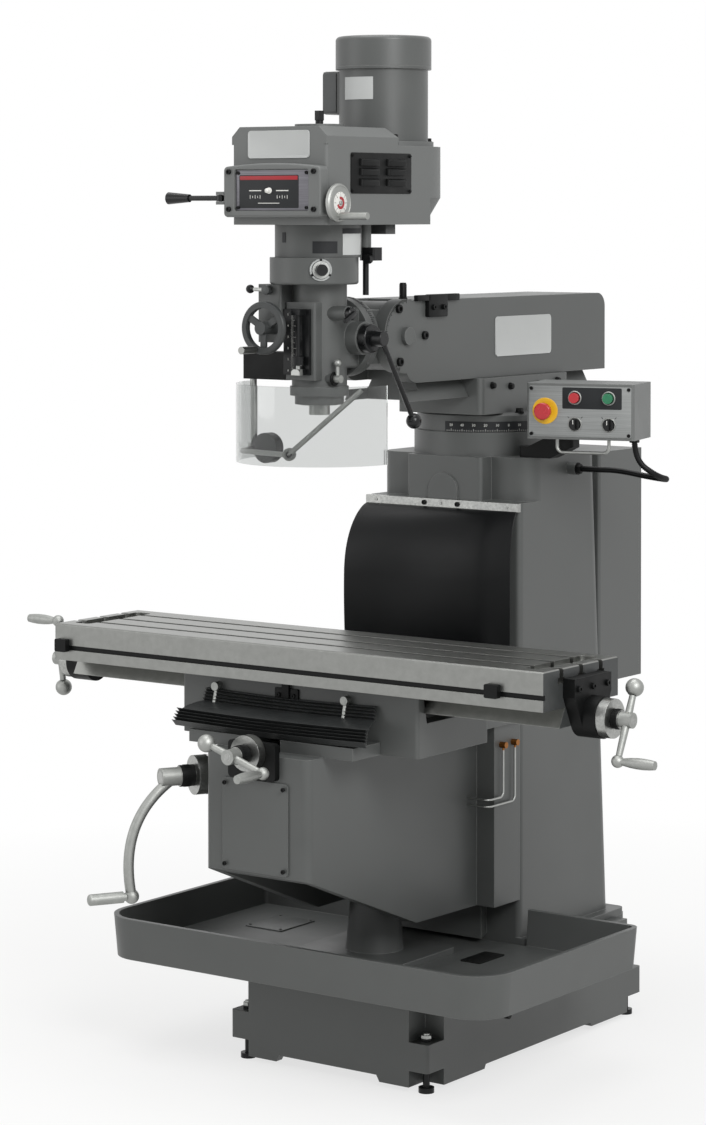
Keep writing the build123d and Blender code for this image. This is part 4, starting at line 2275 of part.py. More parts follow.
# Table screw with a dial and clutch at each end
dial_start = bearing_face + slide_gap
clutch_start = dial_start + table_dial_length
lead_stub = clutch_start + table_clutch_length
with BuildPart() as table_screw:
    with BuildSketch(Plane.YZ):
        with Locations((table_y, lead_height)):
            Circle(lead_radius)
    extrude(amount=dial_start, both=True)
    with BuildSketch(Plane.YZ.offset(dial_start)):
        with Locations((table_y, lead_height)):
            Circle(table_dial_radius)
    extrude(amount=table_dial_length)
    with BuildSketch(Plane.YZ.offset(clutch_start)):
        with Locations((table_y, lead_height)):
            Circle(table_clutch_radius)
    extrude(amount=table_clutch_length)
    with BuildSketch(Plane.YZ.offset(lead_stub)):
        with Locations((table_y, lead_height)):
            Circle(lead_stub_radius)
    extrude(amount=crank_hub_length)
    mirror(about=Plane.YZ)
table_screw.part.label = "table_screw"
export_step(table_screw.part, "parts/table_screw.step")

# Ball cranks at both ends of the table screw
table_crank_shape = ball_crank(lead_stub_radius)
with BuildPart() as table_cranks:
    with Locations(Plane(origin=(lead_stub, table_y, lead_height), x_dir=(0, 1, 0), z_dir=(1, 0, 0))):
        add(table_crank_shape, rotation=(0, 0, right_crank_angle))
    with Locations(Plane(origin=(-lead_stub, table_y, lead_height), x_dir=(0, -1, 0), z_dir=(-1, 0, 0))):
        add(table_crank_shape, rotation=(0, 0, left_crank_angle))
table_cranks.part.label = "table_cranks"
export_step(table_cranks.part, "parts/table_cranks.step")
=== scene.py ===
import json
from math import cos, sin, pi, radians
import bpy
import bmesh
from mathutils import Matrix, Vector
from mathutils.geometry import interpolate_bezier


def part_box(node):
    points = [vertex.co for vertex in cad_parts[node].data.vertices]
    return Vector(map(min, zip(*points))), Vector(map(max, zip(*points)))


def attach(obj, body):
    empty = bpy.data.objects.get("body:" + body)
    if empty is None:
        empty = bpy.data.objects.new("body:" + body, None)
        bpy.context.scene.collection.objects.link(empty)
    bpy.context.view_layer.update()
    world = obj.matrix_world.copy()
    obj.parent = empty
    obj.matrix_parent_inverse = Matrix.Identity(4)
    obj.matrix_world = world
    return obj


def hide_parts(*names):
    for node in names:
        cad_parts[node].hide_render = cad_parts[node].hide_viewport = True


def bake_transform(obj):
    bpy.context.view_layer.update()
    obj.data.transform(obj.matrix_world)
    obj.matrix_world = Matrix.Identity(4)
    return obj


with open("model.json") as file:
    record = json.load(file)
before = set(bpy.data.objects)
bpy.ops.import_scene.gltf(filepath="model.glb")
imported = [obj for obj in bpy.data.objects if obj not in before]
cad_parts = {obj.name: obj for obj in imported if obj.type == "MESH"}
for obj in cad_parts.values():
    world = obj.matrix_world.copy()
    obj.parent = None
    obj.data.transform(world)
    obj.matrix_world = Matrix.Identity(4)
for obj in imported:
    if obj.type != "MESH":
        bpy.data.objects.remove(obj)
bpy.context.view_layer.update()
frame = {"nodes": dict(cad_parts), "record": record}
scene = bpy.context.scene
nodes = frame["nodes"]
mm = 0.001
print("frame loaded:", len(nodes), "solids")

# the photographer stood in front and to the right, at about the turret's height
photoView = {
    "at": (4.280, -6.332, 1.993), "tilt": 88.65, "turn": 35.91, "lens": 101.15, "sensor": 36,
    "shift": -0.2478}
lens = bpy.data.cameras.new("photoLens")
lens.lens = photoView["lens"]
lens.sensor_width = photoView["sensor"]
lens.shift_y = photoView["shift"]
camera = bpy.data.objects.new("photoCamera", lens)
camera.location = photoView["at"]
camera.rotation_euler = (radians(photoView["tilt"]), 0, radians(photoView["turn"]))
scene.collection.objects.link(camera)
scene.camera = camera
scene.view_settings.view_transform = "Standard"


# an sRGB code as a linear colour
def hexColour(code):
    parts = [int(code[i:i + 2], 16) / 255 for i in (1, 3, 5)]
    return [p / 12.92 if p <= 0.04045 else ((p + 0.055) / 1.055) ** 2.4 for p in parts] + [1.0]


def addNode(tree, kind, settings=None, sockets=None):
    node = tree.nodes.new(kind)
    for key, value in (settings or {}).items():
        setattr(node, key, value)
    for key, value in (sockets or {}).items():
        if isinstance(value, bpy.types.NodeSocket):
            tree.links.new(value, node.inputs[key])
        else:
            node.inputs[key].default_value = value
    return node


def emptyTree(owner):
    owner.use_nodes = True
    owner.node_tree.nodes.clear()
    return owner.node_tree


def startMaterial(name, fixed):
    material = bpy.data.materials.new(name)
    tree = emptyTree(material)
    shader = addNode(tree, "ShaderNodeBsdfPrincipled", {}, fixed)
    addNode(tree, "ShaderNodeOutputMaterial", {}, {"Surface": shader.outputs[0]})
    place = addNode(tree, "ShaderNodeTexCoord").outputs["Object"]
    return material, tree, shader, place


def feed(tree, shader, sockets):
    for key, value in sockets.items():
        tree.links.new(value, shader.inputs[key])


# noise in patches of about `size` mm
def noise(tree, place, size, detail):
    sockets = {"Vector": place, "Scale": 1000 / size, "Detail": detail}
    return addNode(tree, "ShaderNodeTexNoise", {}, sockets).outputs[0]


# two colours mixed, each a code or another node's colour
def mixTones(tree, share, *tones):
    first, second = [hexColour(tone) if isinstance(tone, str) else tone for tone in tones]
    return addNode(tree, "ShaderNodeMix", {"data_type": "RGBA"}, {0: share, 6: first, 7: second}).outputs[2]


def remap(tree, value, low=0.0, high=1.0, first=0.0, second=1.0):
    sockets = dict(enumerate((value, low, high, first, second)))
    return addNode(tree, "ShaderNodeMapRange", {}, sockets).outputs[0]


def calculate(tree, kind, operation, *values):
    return addNode(tree, kind, {"operation": operation}, dict(enumerate(values))).outputs


# the normal as if every edge were rounded by `radius` mm
def roundedNormal(tree, radius):
    return addNode(tree, "ShaderNodeBevel", {"samples": 4}, {"Radius": radius * mm}).outputs[0]


def bumped(tree, height, depth, normal=None):
    sockets = {"Strength": 1.0, "Distance": depth * mm, "Height": height}
    return addNode(tree, "ShaderNodeBump", {}, sockets | ({"Normal": normal} if normal else {})).outputs[0]


# edges lightened, part wear and part painted highlight: how far the normal turns before it starts and where
# it is full, its share and its tone
edgeWearAndHighlight = {"starts": 0.995, "full": 0.75, "share": 0.35, "tone": "#a4a5a3"}


# coated and moulded surfaces: patches of slightly different tone and gloss, a fine skin of some depth, and
# soft edges lightened, part wear and part painted highlight; patch, skin, depth and edge are in mm
def coated(name, tones, gloss, patch, skin, depth, edge=None, fixed=None):
    material, tree, shader, place = startMaterial(name, fixed or {})
    patches = noise(tree, place, patch, 4.0)
    tone = mixTones(tree, patches, *tones)
    rounded = None
    if edge:
        rounded = roundedNormal(tree, edge)
        flat = addNode(tree, "ShaderNodeNewGeometry").outputs["Normal"]
        turn = calculate(tree, "ShaderNodeVectorMath", "DOT_PRODUCT", rounded, flat)[1]
        # lighter edges: partly wear, partly a painted highlight
        wornAndLitEdges = remap(tree, turn, edgeWearAndHighlight["starts"], edgeWearAndHighlight["full"], 0.0, edgeWearAndHighlight["share"])
        tone = mixTones(tree, wornAndLitEdges, tone, edgeWearAndHighlight["tone"])
    feed(tree, shader, {"Base Color": tone, "Roughness": remap(tree, patches, 0.3, 0.7, *gloss),
                        "Normal": bumped(tree, noise(tree, place, skin, 2.0), depth, rounded)})
    return material


# bare metal: streaks along the tool's path, `stretch` gives the streak length each way in mm
def workedMetal(name, tones, gloss, stretch, depth, edge=None):
    material, tree, shader, place = startMaterial(name, {"Metallic": 1.0})
    scales = {"Vector": place, "Scale": [1000 / s for s in stretch]}
    scaled = addNode(tree, "ShaderNodeMapping", {}, scales).outputs[0]
    lines = {"Vector": scaled, "Scale": 1.0, "Detail": 5.0, "Roughness": 0.6}
    streaks = addNode(tree, "ShaderNodeTexNoise", {}, lines).outputs[0]
    patches = noise(tree, place, 140, 3.0)
    both = calculate(tree, "ShaderNodeMath", "MULTIPLY_ADD", patches, 0.5, streaks)[0]
    level = remap(tree, both, 0.5, 1.0)
    tone = mixTones(tree, level, *tones)
    rounded = roundedNormal(tree, edge) if edge else None
    feed(tree, shader, {"Base Color": tone, "Roughness": remap(tree, level, first=gloss[1], second=gloss[0]),
                        "Normal": bumped(tree, streaks, depth, rounded)})
    return material


dark = ("#3a3c3c", "#454747")
# sprayed machine enamel over filled cast iron: even mid grey, soft gloss, slight orange peel
castEnamel = coated("sprayedEnamelOnCastIron", ("#4a4c4b", "#535554"), (0.36, 0.48), 110, 3.2, 0.05, 2.6)
# the same enamel on smoother aluminium castings: paler and a little duller
lightEnamel = coated("sprayedEnamelOnAluminium", ("#5d5f5e", "#666867"), (0.42, 0.52), 90, 2.6, 0.035, 2.2)
# enamel on folded sheet: flatter skin with a long faint ripple
sheetEnamel = coated("sprayedEnamelOnSheetSteel", ("#4c4e4d", "#555756"), (0.34, 0.44), 160, 2.4, 0.03, 1.2)
# darker enamel on the motor's hood and slide bar and on the trip lever's cap
darkEnamel = coated("darkGreyEnamel", dark, (0.36, 0.48), 40, 2.0, 0.03, 1.4)
# black enamel on small brackets and screws: deep, with a dull shine
blackEnamel = coated("blackEnamelOnSteel", ("#070808", "#0c0d0d"), (0.42, 0.56), 40, 1.6, 0.03,
                     fixed={"Specular IOR Level": 0.18})
# calendered neoprene sheet: black with a soft shine and a faint bloom
blackRubber = coated("calenderedNeopreneSheet", ("#060708", "#0b0c0d"), (0.32, 0.44), 120, 1.4, 0.03,
                     fixed={"Specular IOR Level": 0.2, "Sheen Weight": 0.01, "Sheen Roughness": 0.4})
# coated fabric on the pleated way cover: dark grey, its fold edges lightened by a painted highlight
pleatFabric = coated("coatedFabricPleats", ("#1b1d1d", "#292b2b"), (0.38, 0.5), 60, 1.2, 0.03, 0.8)
# compression moulded phenolic knobs: hard, black and shiny
phenolic = coated("mouldedPhenolic", ("#0b0c0d", "#121314"), (0.22, 0.34), 25, 1.0, 0.015,
                  fixed={"Specular IOR Level": 0.35})
# injection moulded buttons: clear bright colours under a thin gloss
clearCoat = {"Coat Weight": 0.3, "Coat Roughness": 0.1}
redPlastic = coated("mouldedRedAcrylic", ("#a5141f", "#bd1d29"), (0.2, 0.3), 12, 0.8, 0.01, 1.0,
                    fixed=clearCoat)
greenPlastic = coated("mouldedGreenAcrylic", ("#0a6440", "#127a50"), (0.2, 0.3), 12, 0.8, 0.01, 1.0,
                      fixed=clearCoat)
# moulded yellow ring round the emergency stop, duller than the buttons
yellowPlastic = coated("mouldedYellowAbs", ("#d9a414", "#e8b824"), (0.3, 0.42), 15, 0.8, 0.01, 0.6)
# white filler wiped into engraved scales
whiteFill = coated("whiteEngravingFill", ("#d8d8d3", "#e9e9e5"), (0.5, 0.65), 8, 0.6, 0.01)
# screen printed red ink
redInk = coated("redScreenInk", ("#8a121c", "#a01a25"), (0.35, 0.5), 30, 1.2, 0.01)
# stoved white enamel on the speed dial
dialFace = coated("whiteDialEnamel", ("#cfcfca", "#dddcd8"), (0.3, 0.42), 30, 1.0, 0.01)
# dark anodised plates behind switches and scales
panelFace = coated("darkAnodisedPlate", ("#17191b", "#1f2123"), (0.4, 0.52), 60, 1.2, 0.01,
                   fixed={"Specular IOR Level": 0.28})
# etched aluminium plates with a bare, even, matt field
etchedPlate = coated("etchedAluminiumPlate", ("#b4b6b5", "#bec0bf"), (0.44, 0.56), 60, 1.0, 0.01)

# turned steel bars, screws and pins
turnedSteel = workedMetal("turnedSteel", ("#8d8e8c", "#b4b5b2"), (0.24, 0.38), (5, 5, 5), 0.01, 0.8)
# satin chromium plate on cranks and levers: pale with a soft blur
satinPlate = workedMetal("satinChromedSteel", ("#959794", "#a3a4a1"), (0.46, 0.58), (14, 14, 14), 0.012, 1.0)
# brushed aluminium plates: fine level lines, the speed panel's darker from its anodising
levelLines = (160, 160, 1.6)
brushedPlate = workedMetal("brushedAluminiumPlate", ("#7f8180", "#9c9e9d"), (0.34, 0.46), levelLines, 0.006)
darkPlate = workedMetal("greyAnodisedPlate", ("#5c5b5f", "#77767b"), (0.34, 0.46), levelLines, 0.006)

# clear polycarbonate sheet: almost colourless, faintly hazed by wiping
polycarbonate, tree, shader, place = startMaterial("clearPolycarbonateSheet", {
    "Base Color": hexColour("#d2d4d3"), "Transmission Weight": 1.0, "IOR": 1.45})
feed(tree, shader, {"Roughness": remap(tree, noise(tree, place, 45, 4.0), 0.35, 0.75, 0.015, 0.05)})

# two finishes on one solid: the inner one lies within `reach` mm of `centre`, along the weighted axes
parting = {"blur": 0.3, "grain": 14, "gloss": (0.26, 0.42), "edge": 1.2, "specular": 0.25}


def partedMetal(name, inner, outer, centre, reach, weights, metal):
    material, tree, shader, place = startMaterial(name, {"Specular IOR Level": parting["specular"]})
    offset = calculate(tree, "ShaderNodeVectorMath", "SUBTRACT", place, [c * mm for c in centre])[0]
    counted = calculate(tree, "ShaderNodeVectorMath", "MULTIPLY", offset, weights)[0]
    away = calculate(tree, "ShaderNodeVectorMath", "LENGTH", counted)[1]
    outside = remap(tree, away, (reach - parting["blur"]) * mm, (reach + parting["blur"]) * mm)
    grain = noise(tree, place, parting["grain"], 4.0)
    sides = [mixTones(tree, grain, *tones) for tones in (inner, outer)]
    feed(tree, shader, {"Base Color": mixTones(tree, outside, *sides),
                        "Metallic": remap(tree, outside, 0.0, 1.0, *metal),
                        "Roughness": remap(tree, grain, 0.0, 1.0, *parting["gloss"]),
                        "Normal": roundedNormal(tree, parting["edge"])})
    return material


steel, black, brass = ("#949694", "#b2b3b0"), ("#0e0f10", "#161718"), ("#7d5026", "#a26c38")
enamel, ground = ("#5e605f", "#686a69"), ("#838481", "#939491")
everyWay, alongX, alongZ = (1, 1, 1), (1, 0, 0), (0, 0, 1)
guardKnobAt = (-126, -580, 1446)
oilTop, footTop = [(0, 0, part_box(node)[1][2] / mm) for node in ("oil_lines", "levelling_screws")]
# material, tones inside and outside, centre, reach, axis weights, how metallic inside and outside
parted = {
    "depth_stop": ("brightNutOnBlackedScale", steel, black, (8, -648, 1612), 24, (1, 3, 0.7), (1, 0)),
    "guard_frame": ("greyKnobOnChromedBar", dark, steel, guardKnobAt, 46, everyWay, (0, 1)),
    "oil_lines": ("brassFittingsOnSteelPipe", brass, steel, oilTop, 20, alongZ, (1, 1)),
    "brake_linkage": ("enamelledBossOverBlackClamp", enamel, black, (0, 0, 1958), 52, alongZ, (0, 0)),
    "feed_handwheel": ("steelGripOnEnamelledWheel", ground, dark, (-80.9, -738, 1675.9), 49.5,
                       everyWay, (1, 0)),
    "trip_lever": ("phenolicBallOnChromedRod", black, steel, (-135, 0, 0), 21, alongX, (0, 1)),
    "spindle": ("blackedDrawbarOnGroundSpindle", black, steel, (0, 0, 2230), 60, alongZ, (0, 1)),
    "table": ("groundIronWithDullEnds", ground, dark, (0, 0, 0), 685.5, alongX, (1, 0.2)),
    "levelling_screws": ("platedHeadsOnBlackScrews", steel, black, footTop, 11, alongZ, (1, 0)),
    "feed_knob": ("phenolicKnobOnSteelFlange", black, steel, (82.24, -654.24, 1857), 15.9, everyWay, (0, 1))}
ownFinish = {node: partedMetal(*finish) for node, finish in parted.items()}
ownFinish |= {"range_lever": phenolic, "feed_lever": phenolic, "knuckle_pin": castEnamel,
              "trip_dogs": blackEnamel}
finishes = {"painted_casting": castEnamel, "light_casting": lightEnamel, "sheet_steel": sheetEnamel,
            "bright_steel": turnedSteel, "plated_steel": satinPlate, "blackened_steel": blackEnamel,
            "black_rubber": blackRubber, "black_plastic": phenolic, "red_plastic": redPlastic,
            "green_plastic": greenPlastic, "clear_plastic": polycarbonate}
for part in frame["record"]["subparts"]:
    own = ownFinish.get(part["node"])
    for holder in nodes[part["node"]].material_slots:
        holder.material = own or finishes[part["material_slot"]]
print("materials on", len(nodes), "solids")

front, right, left, back, down = (0, -1, 0), (1, 0, 0), (-1, 0, 0), (0, 1, 0), (0, 0, -1)
shift = Matrix.Translation


def twist(angle, axis="Z"):
    return Matrix.Rotation(angle, 4, axis)


# placing: local Z points out of a surface and local Y up along it, all in millimetres
def facing(at, out, up=(0, 0, 1)):
    outward = Vector(out).normalized()
    across = Vector(up).cross(outward).normalized()
    turn = Matrix((across, outward.cross(across), outward)).transposed().to_4x4()
    return shift(at) @ turn


def corners(x, y):
    return [(a, b) for a in (-x, x) for b in (-y, y)]


def addShape(target, shape, where):
    shape.transform(where)
    carrier = bpy.data.meshes.new("carrier")
    shape.to_mesh(carrier)
    shape.free()
    target.from_mesh(carrier)
    bpy.data.meshes.remove(carrier)


def addBlock(target, where, width, height, thick):
    size = Matrix.Diagonal((width, height, thick, 1))
    bmesh.ops.create_cube(target, size=1, matrix=where @ shift((0, 0, thick / 2)) @ size)


def soften(shape, edges, offset, segments):
    bmesh.ops.bevel(shape, geom=edges, offset=offset, segments=segments, profile=0.5, affect="EDGES",
                    material=-1)


def topEdges(shape, height):
    return [e for e in shape.edges if min(v.co.z for v in e.verts) > height - 1e-4]


def roundedPlate(width, height, thick, corner, edge=0.4):
    shape = bmesh.new()
    addBlock(shape, Matrix(), width, height, thick)
    upright = [e for e in shape.edges if abs(e.verts[0].co.z - e.verts[1].co.z) > thick / 2]
    soften(shape, upright, corner, 5)
    soften(shape, topEdges(shape, thick), edge, 2)
    return shape


def turned(profile, steps=32):
    shape = bmesh.new()
    line = [shape.verts.new((radius, 0, height)) for radius, height in profile]
    run = [shape.edges.new(pair) for pair in zip(line, line[1:])]
    bmesh.ops.spin(shape, geom=line + run, axis=(0, 0, 1), angle=2 * pi, steps=steps, use_merge=True)
    bmesh.ops.remove_doubles(shape, verts=shape.verts[:], dist=0.001)
    bmesh.ops.recalc_face_normals(shape, faces=shape.faces[:])
    return shape


# a band between two radii and two heights, carried round Z by degrees from the front towards +X
def sweptBand(inner, outer, low, high, start, stop, steps):
    shape = bmesh.new()
    a = radians(start)
    section = ((inner, low), (outer, low), (outer, high), (inner, high))
    face = shape.faces.new([shape.verts.new((r * sin(a), -r * cos(a), z)) for r, z in section])
    bmesh.ops.spin(shape, geom=shape.verts[:] + shape.edges[:] + [face], axis=(0, 0, 1),
                   angle=radians(stop - start), steps=steps)
    bmesh.ops.recalc_face_normals(shape, faces=shape.faces[:])
    return shape


def ring(inner, outer, height, edge):
    low = height - edge
    return turned([(inner, 0), (outer, 0), (outer, low), (outer - edge, height), (inner + edge, height),
                   (inner, low), (inner, 0)], 40)


def capScrew(radius, height):
    socket, sunk, crown, shoulder = radius * 0.52, height * 0.55, radius * 0.9, height * 0.86
    return turned([(0, sunk), (socket, sunk), (socket, height), (crown, height),
                   (radius, shoulder), (radius, 0)], 18)


def hexBolt(radius, height):
    shape = bmesh.new()
    bmesh.ops.create_cone(shape, cap_ends=True, segments=6, radius1=radius, radius2=radius, depth=height,
                          matrix=shift((0, 0, height / 2)))
    soften(shape, topEdges(shape, height), radius * 0.14, 2)
    washer, thick = radius * 1.25, height * 0.2
    addShape(shape, turned([(washer, 0), (washer, thick), (0, thick)], 24), Matrix())
    return shape


def figure(words, size, thick):
    label = bpy.data.curves.new("figure", "FONT")
    label.body = words
    label.size = size
    label.extrude = thick
    label.align_x = "CENTER"
    label.align_y = "CENTER"
    label.resolution_u = 2
    carrier = bpy.data.objects.new("figure", label)
    mesh = bpy.data.meshes.new_from_object(carrier)
    shape = bmesh.new()
    shape.from_mesh(mesh)
    bpy.data.objects.remove(carrier)
    bpy.data.curves.remove(label)
    bpy.data.meshes.remove(mesh)
    return shape


def finishMesh(name, shape, material, sharp=32):
    shape.transform(Matrix.Scale(mm, 4))
    mesh = bpy.data.meshes.new(name)
    shape.to_mesh(mesh)
    shape.free()
    mesh.shade_smooth()
    mesh.set_sharp_from_angle(angle=radians(sharp))
    mesh.materials.append(material)
    piece = bpy.data.objects.new(name, mesh)
    scene.collection.objects.link(piece)
    return piece


def addPiece(name, shape, material, body, where=Matrix(), sharp=32):
    shape.transform(where)
    piece = finishMesh(name, shape, material, sharp)
    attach(piece, body)
    return piece


# many of one small fitting, given as places, in one piece
def fittings(name, make, size, places, body, material=blackEnamel):
    group = bmesh.new()
    for where in places:
        addShape(group, make(*size), where)
    return addPiece(name, group, material, body)


# screws on a wall that faces the front: the wall's y, then the x and z of their rows
def frontScrews(name, size, y, xs, zs, body, material=blackEnamel):
    fittings(name, capScrew, size, [facing((x, y, z), front) for x in xs for z in zs], body, material)


# screws alike on the left and right sides
def sideScrews(name, size, half, spots, body):
    places = [facing((side * half, y, z), (side, 0, 0)) for side in (-1, 1) for y, z in spots]
    fittings(name, capScrew, size, places, body)


def cornerScrews(target, size, spread, height):
    for x, y in corners(*spread):
        addShape(target, capScrew(*size), shift((x, y, height)))


# the longest tick at every tenth, a middle one at every fifth
def graded(k, lengths):
    return lengths[0 if k % 10 == 0 else 1 if k % 5 == 0 else 2]


# a sheet given its thickness, with the area it had before
def clothPiece(name, cloth, skin, material, sharp):
    bmesh.ops.recalc_face_normals(cloth, faces=cloth.faces[:])
    area = sum(f.calc_area() for f in cloth.faces) * mm * mm
    bmesh.ops.solidify(cloth, geom=cloth.faces[:], thickness=skin)
    bmesh.ops.recalc_face_normals(cloth, faces=cloth.faces[:])
    return finishMesh(name, cloth, material, sharp), area


# ribbed conduit from under the pendant box, round to the gland on the column
conduit = {
    "points": [
        (455.66, 79.64, 1455), (455.66, 79.64, 1403), (501.66, 107.64, 1363), (499.66, 171.64, 1351),
        (421.66, 199.64, 1353), (348, 186, 1366), (292, 168, 1366), (244, 168, 1366)],
    "radius": 7.5, "groove": 6.3, "rib": 2.3, "sides": 16, "nut": (12, 12)}
routeCurve = bpy.data.curves.new("conduitRoute", "CURVE")
routeCurve.dimensions = "3D"
route = routeCurve.splines.new("NURBS")
route.points.add(len(conduit["points"]) - 1)
for point, at in zip(route.points, conduit["points"]):
    point.co = (*at, 1)
route.order_u = 3
route.use_endpoint_u = True
route.resolution_u = 40
carrier = bpy.data.objects.new("conduitRoute", routeCurve)
lineMesh = bpy.data.meshes.new_from_object(carrier)
line = [v.co.copy() for v in lineMesh.vertices]
bpy.data.objects.remove(carrier)
bpy.data.meshes.remove(lineMesh)
# one station at every rib, walked along the route
stations, leftOver = [line[0]], 0.0
for a, b in zip(line, line[1:]):
    span = (b - a).length
    walked = conduit["rib"] - leftOver
    while walked <= span:
        stations.append(a.lerp(b, walked / span))
        walked += conduit["rib"]
    leftOver = span - (walked - conduit["rib"])
stations.append(line[-1])
tube = bmesh.new()
across, rims = Vector((0, 1, 0)), []
for i, at in enumerate(stations):
    along = (stations[min(i + 1, len(stations) - 1)] - stations[max(i - 1, 0)]).normalized()
    across = (across - along * across.dot(along)).normalized()
    turn = Matrix((across, along.cross(across), along)).transposed().to_4x4()
    radius = conduit["radius" if i % 2 else "groove"]
    made = bmesh.ops.create_circle(tube, segments=conduit["sides"], radius=radius, matrix=shift(at) @ turn)
    rims.append({e for v in made["verts"] for e in v.link_edges})
for a, b in zip(rims, rims[1:]):
    bmesh.ops.bridge_loops(tube, edges=list(a | b))
bmesh.ops.holes_fill(tube, edges=tube.edges[:])
bmesh.ops.recalc_face_normals(tube, faces=tube.faces[:])
conduitPiece = addPiece("ribbedConduit", tube, blackRubber, "column", sharp=60)
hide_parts("conduit")
# clamp nuts where the conduit enters
nutPlaces = [facing(conduit["points"][0], down, front), facing(conduit["points"][-1], right)]
fittings("conduitNuts", hexBolt, conduit["nut"], nutPlaces, "column")

# neoprene apron hung from the strip, bowed out over the dovetail to the knee, its right edge curled back
apron = {
    "width": 434, "skin": 4.5, "across": 30, "down": 44, "held": -62, "slack": 1.15, "ripple": 2.4,
    "waves": (4.1, 5), "fullness": 0.8, "lean": 0.2, "curlFrom": 0.72, "curl": 1.05,
    "bow": [
        ((-62, 1277), (-84, 1276), (-152, 1236), (-157, 1120)),
        ((-157, 1120), (-162, 1000), (-153, 900), (-148, 812))]}
profile = []
for part in apron["bow"]:
    profile += interpolate_bezier(*[Vector((0, y, z)) for y, z in part], apron["down"] // 2 + 1)
cloth = bmesh.new()
bmesh.ops.create_grid(cloth, x_segments=apron["across"], y_segments=apron["down"], size=0.5)
spread = len(profile) - 1
for v in cloth.verts:
    side, fall = v.co.x * 2, 0.5 - v.co.y
    step = min(int(fall * spread), spread - 1)
    at = profile[step].lerp(profile[step + 1], fall * spread - step)
    loose = sin(pi * min(1.0, fall * apron["slack"])) ** 2
    bulge = apron["fullness"] - apron["lean"] * side - max(0, side - apron["curlFrom"]) * apron["curl"]
    wave = apron["ripple"] * loose * sin(side * apron["waves"][0] + fall * apron["waves"][1])
    v.co = (side * apron["width"] / 2, apron["held"] + (at.y - apron["held"]) * bulge + wave, at.z)
apronPiece, apronArea = clothPiece("neopreneApron", cloth, apron["skin"], blackRubber, 60)
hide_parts("column_apron")
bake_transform(apronPiece)
print("apron", round(apronArea, 3), "square metres")

# pleated way cover from the knee's front to the saddle: tight folds at both ends, drawn smooth between;
# each end gives two points, the number of folds and their depth
pleats = {
    "back": ((-642, 890), (-653, 862), 4, 8), "backX": (-254, 222), "drawn": (0.3, 0.5, 0.7), "sag": 4,
    "front": ((-727, 852), (-746, 820), 5, 12), "frontX": (-268, 268), "skin": 2.2, "across": 14,
    "flat": 0.53}


def foldLine(start, stop, count, depth):
    a, b = Vector(start), Vector(stop)
    out = Vector((b.y - a.y, a.x - b.x)).normalized()
    return [a.lerp(b, i / (2 * count)) + out * depth * (0.5 if i % 2 else -0.5) for i in range(2 * count + 1)]


folds = foldLine(*pleats["back"])
folds += [Vector(pleats["back"][1]).lerp(Vector(pleats["front"][0]), t) for t in pleats["drawn"]]
folds += foldLine(*pleats["front"])
cover = bmesh.new()
bmesh.ops.create_grid(cover, x_segments=pleats["across"], y_segments=len(folds) - 1, size=0.5)
for v in cover.verts:
    fold = folds[round((v.co.y + 0.5) * (len(folds) - 1))]
    forward = (folds[0].x - fold.x) / (folds[0].x - folds[-1].x)
    ends = [b + (f - b) * forward for b, f in zip(pleats["backX"], pleats["frontX"])]
    v.co = (ends[0] + (ends[1] - ends[0]) * (v.co.x + 0.5), fold.x, fold.y - pleats["sag"] * cos(pi * v.co.x))
pleatPiece, pleatArea = clothPiece("pleatedWayCover", cover, pleats["skin"], pleatFabric, 25)
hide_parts("knee_bellows")
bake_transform(pleatPiece)
print("way cover", round(pleatArea, 3), "square metres")


# a plain plate with a raised rim, its field left bare
def rimmedPlate(width, height, thick, corner, rim, sunk):
    shape = roundedPlate(width, height, thick, corner, 0.6)
    field = max(shape.faces, key=lambda f: f.calc_center_median().z)
    bmesh.ops.inset_region(shape, faces=[field], thickness=rim)
    bmesh.ops.translate(shape, verts=field.verts[:], vec=(0, 0, -sunk))
    return shape


# bare plates on the belt housing's front and the ram's right side
badges = {"belt": ((172, 62, 2.6, 8, 3.0, 0.9), (0, -704, 2138), front, "head"),
          "ram": ((248, 96, 2.6, 10, 3.0, 0.9), (105, 139.5, 1687), right, "ram")}
for name, (size, at, out, body) in badges.items():
    addPiece(name + "BadgePlate", rimmedPlate(*size), etchedPlate, body, facing(at, out))

# speed panel: grey plate in the recess, dark face, red band, plain marks and corner screws
speedPanel = {
    "floor": -728, "mid": 2035.5, "plate": (204, 90, 1.2, 5), "face": (166, 74, 0.8, 3), "faceAt": (-9, -3),
    "band": (162, 9, 0.3, 1.5, 0.1), "bandUp": 30.5, "pointerAt": (2, 2),
    "pointer": [(7, 0), (7, 2), (4.2, 3), (4.2, 6), (5.4, 8), (5.0, 11), (3.0, 13), (0, 13.6)],
    "screws": ((6, 5), -733, (-119, 119), (1993, 2077)), "pin": (4, 3), "pinX": (-96, 96),
    "pinZ": (1996.5, 2074.5)}
speedMarks = {
    "thick": 0.25, "barAt": (38, 2), "bar": (34, 2.2), "tickFrom": 24, "tickStep": 7, "ticks": 5,
    "tickUp": -12, "tickWide": 1.2, "tickTall": (8, 5), "lineUp": -26, "line": (60, 1.4)}
plateFront = speedPanel["floor"] - speedPanel["plate"][2]
addPiece("speedPlate", roundedPlate(*speedPanel["plate"]), darkPlate, "head",
         facing((0, speedPanel["floor"], speedPanel["mid"]), front))
faceAt = facing((speedPanel["faceAt"][0], plateFront, speedPanel["mid"] + speedPanel["faceAt"][1]), front)


def onFace(x, y):
    return faceAt @ shift((x, y, speedPanel["face"][2]))


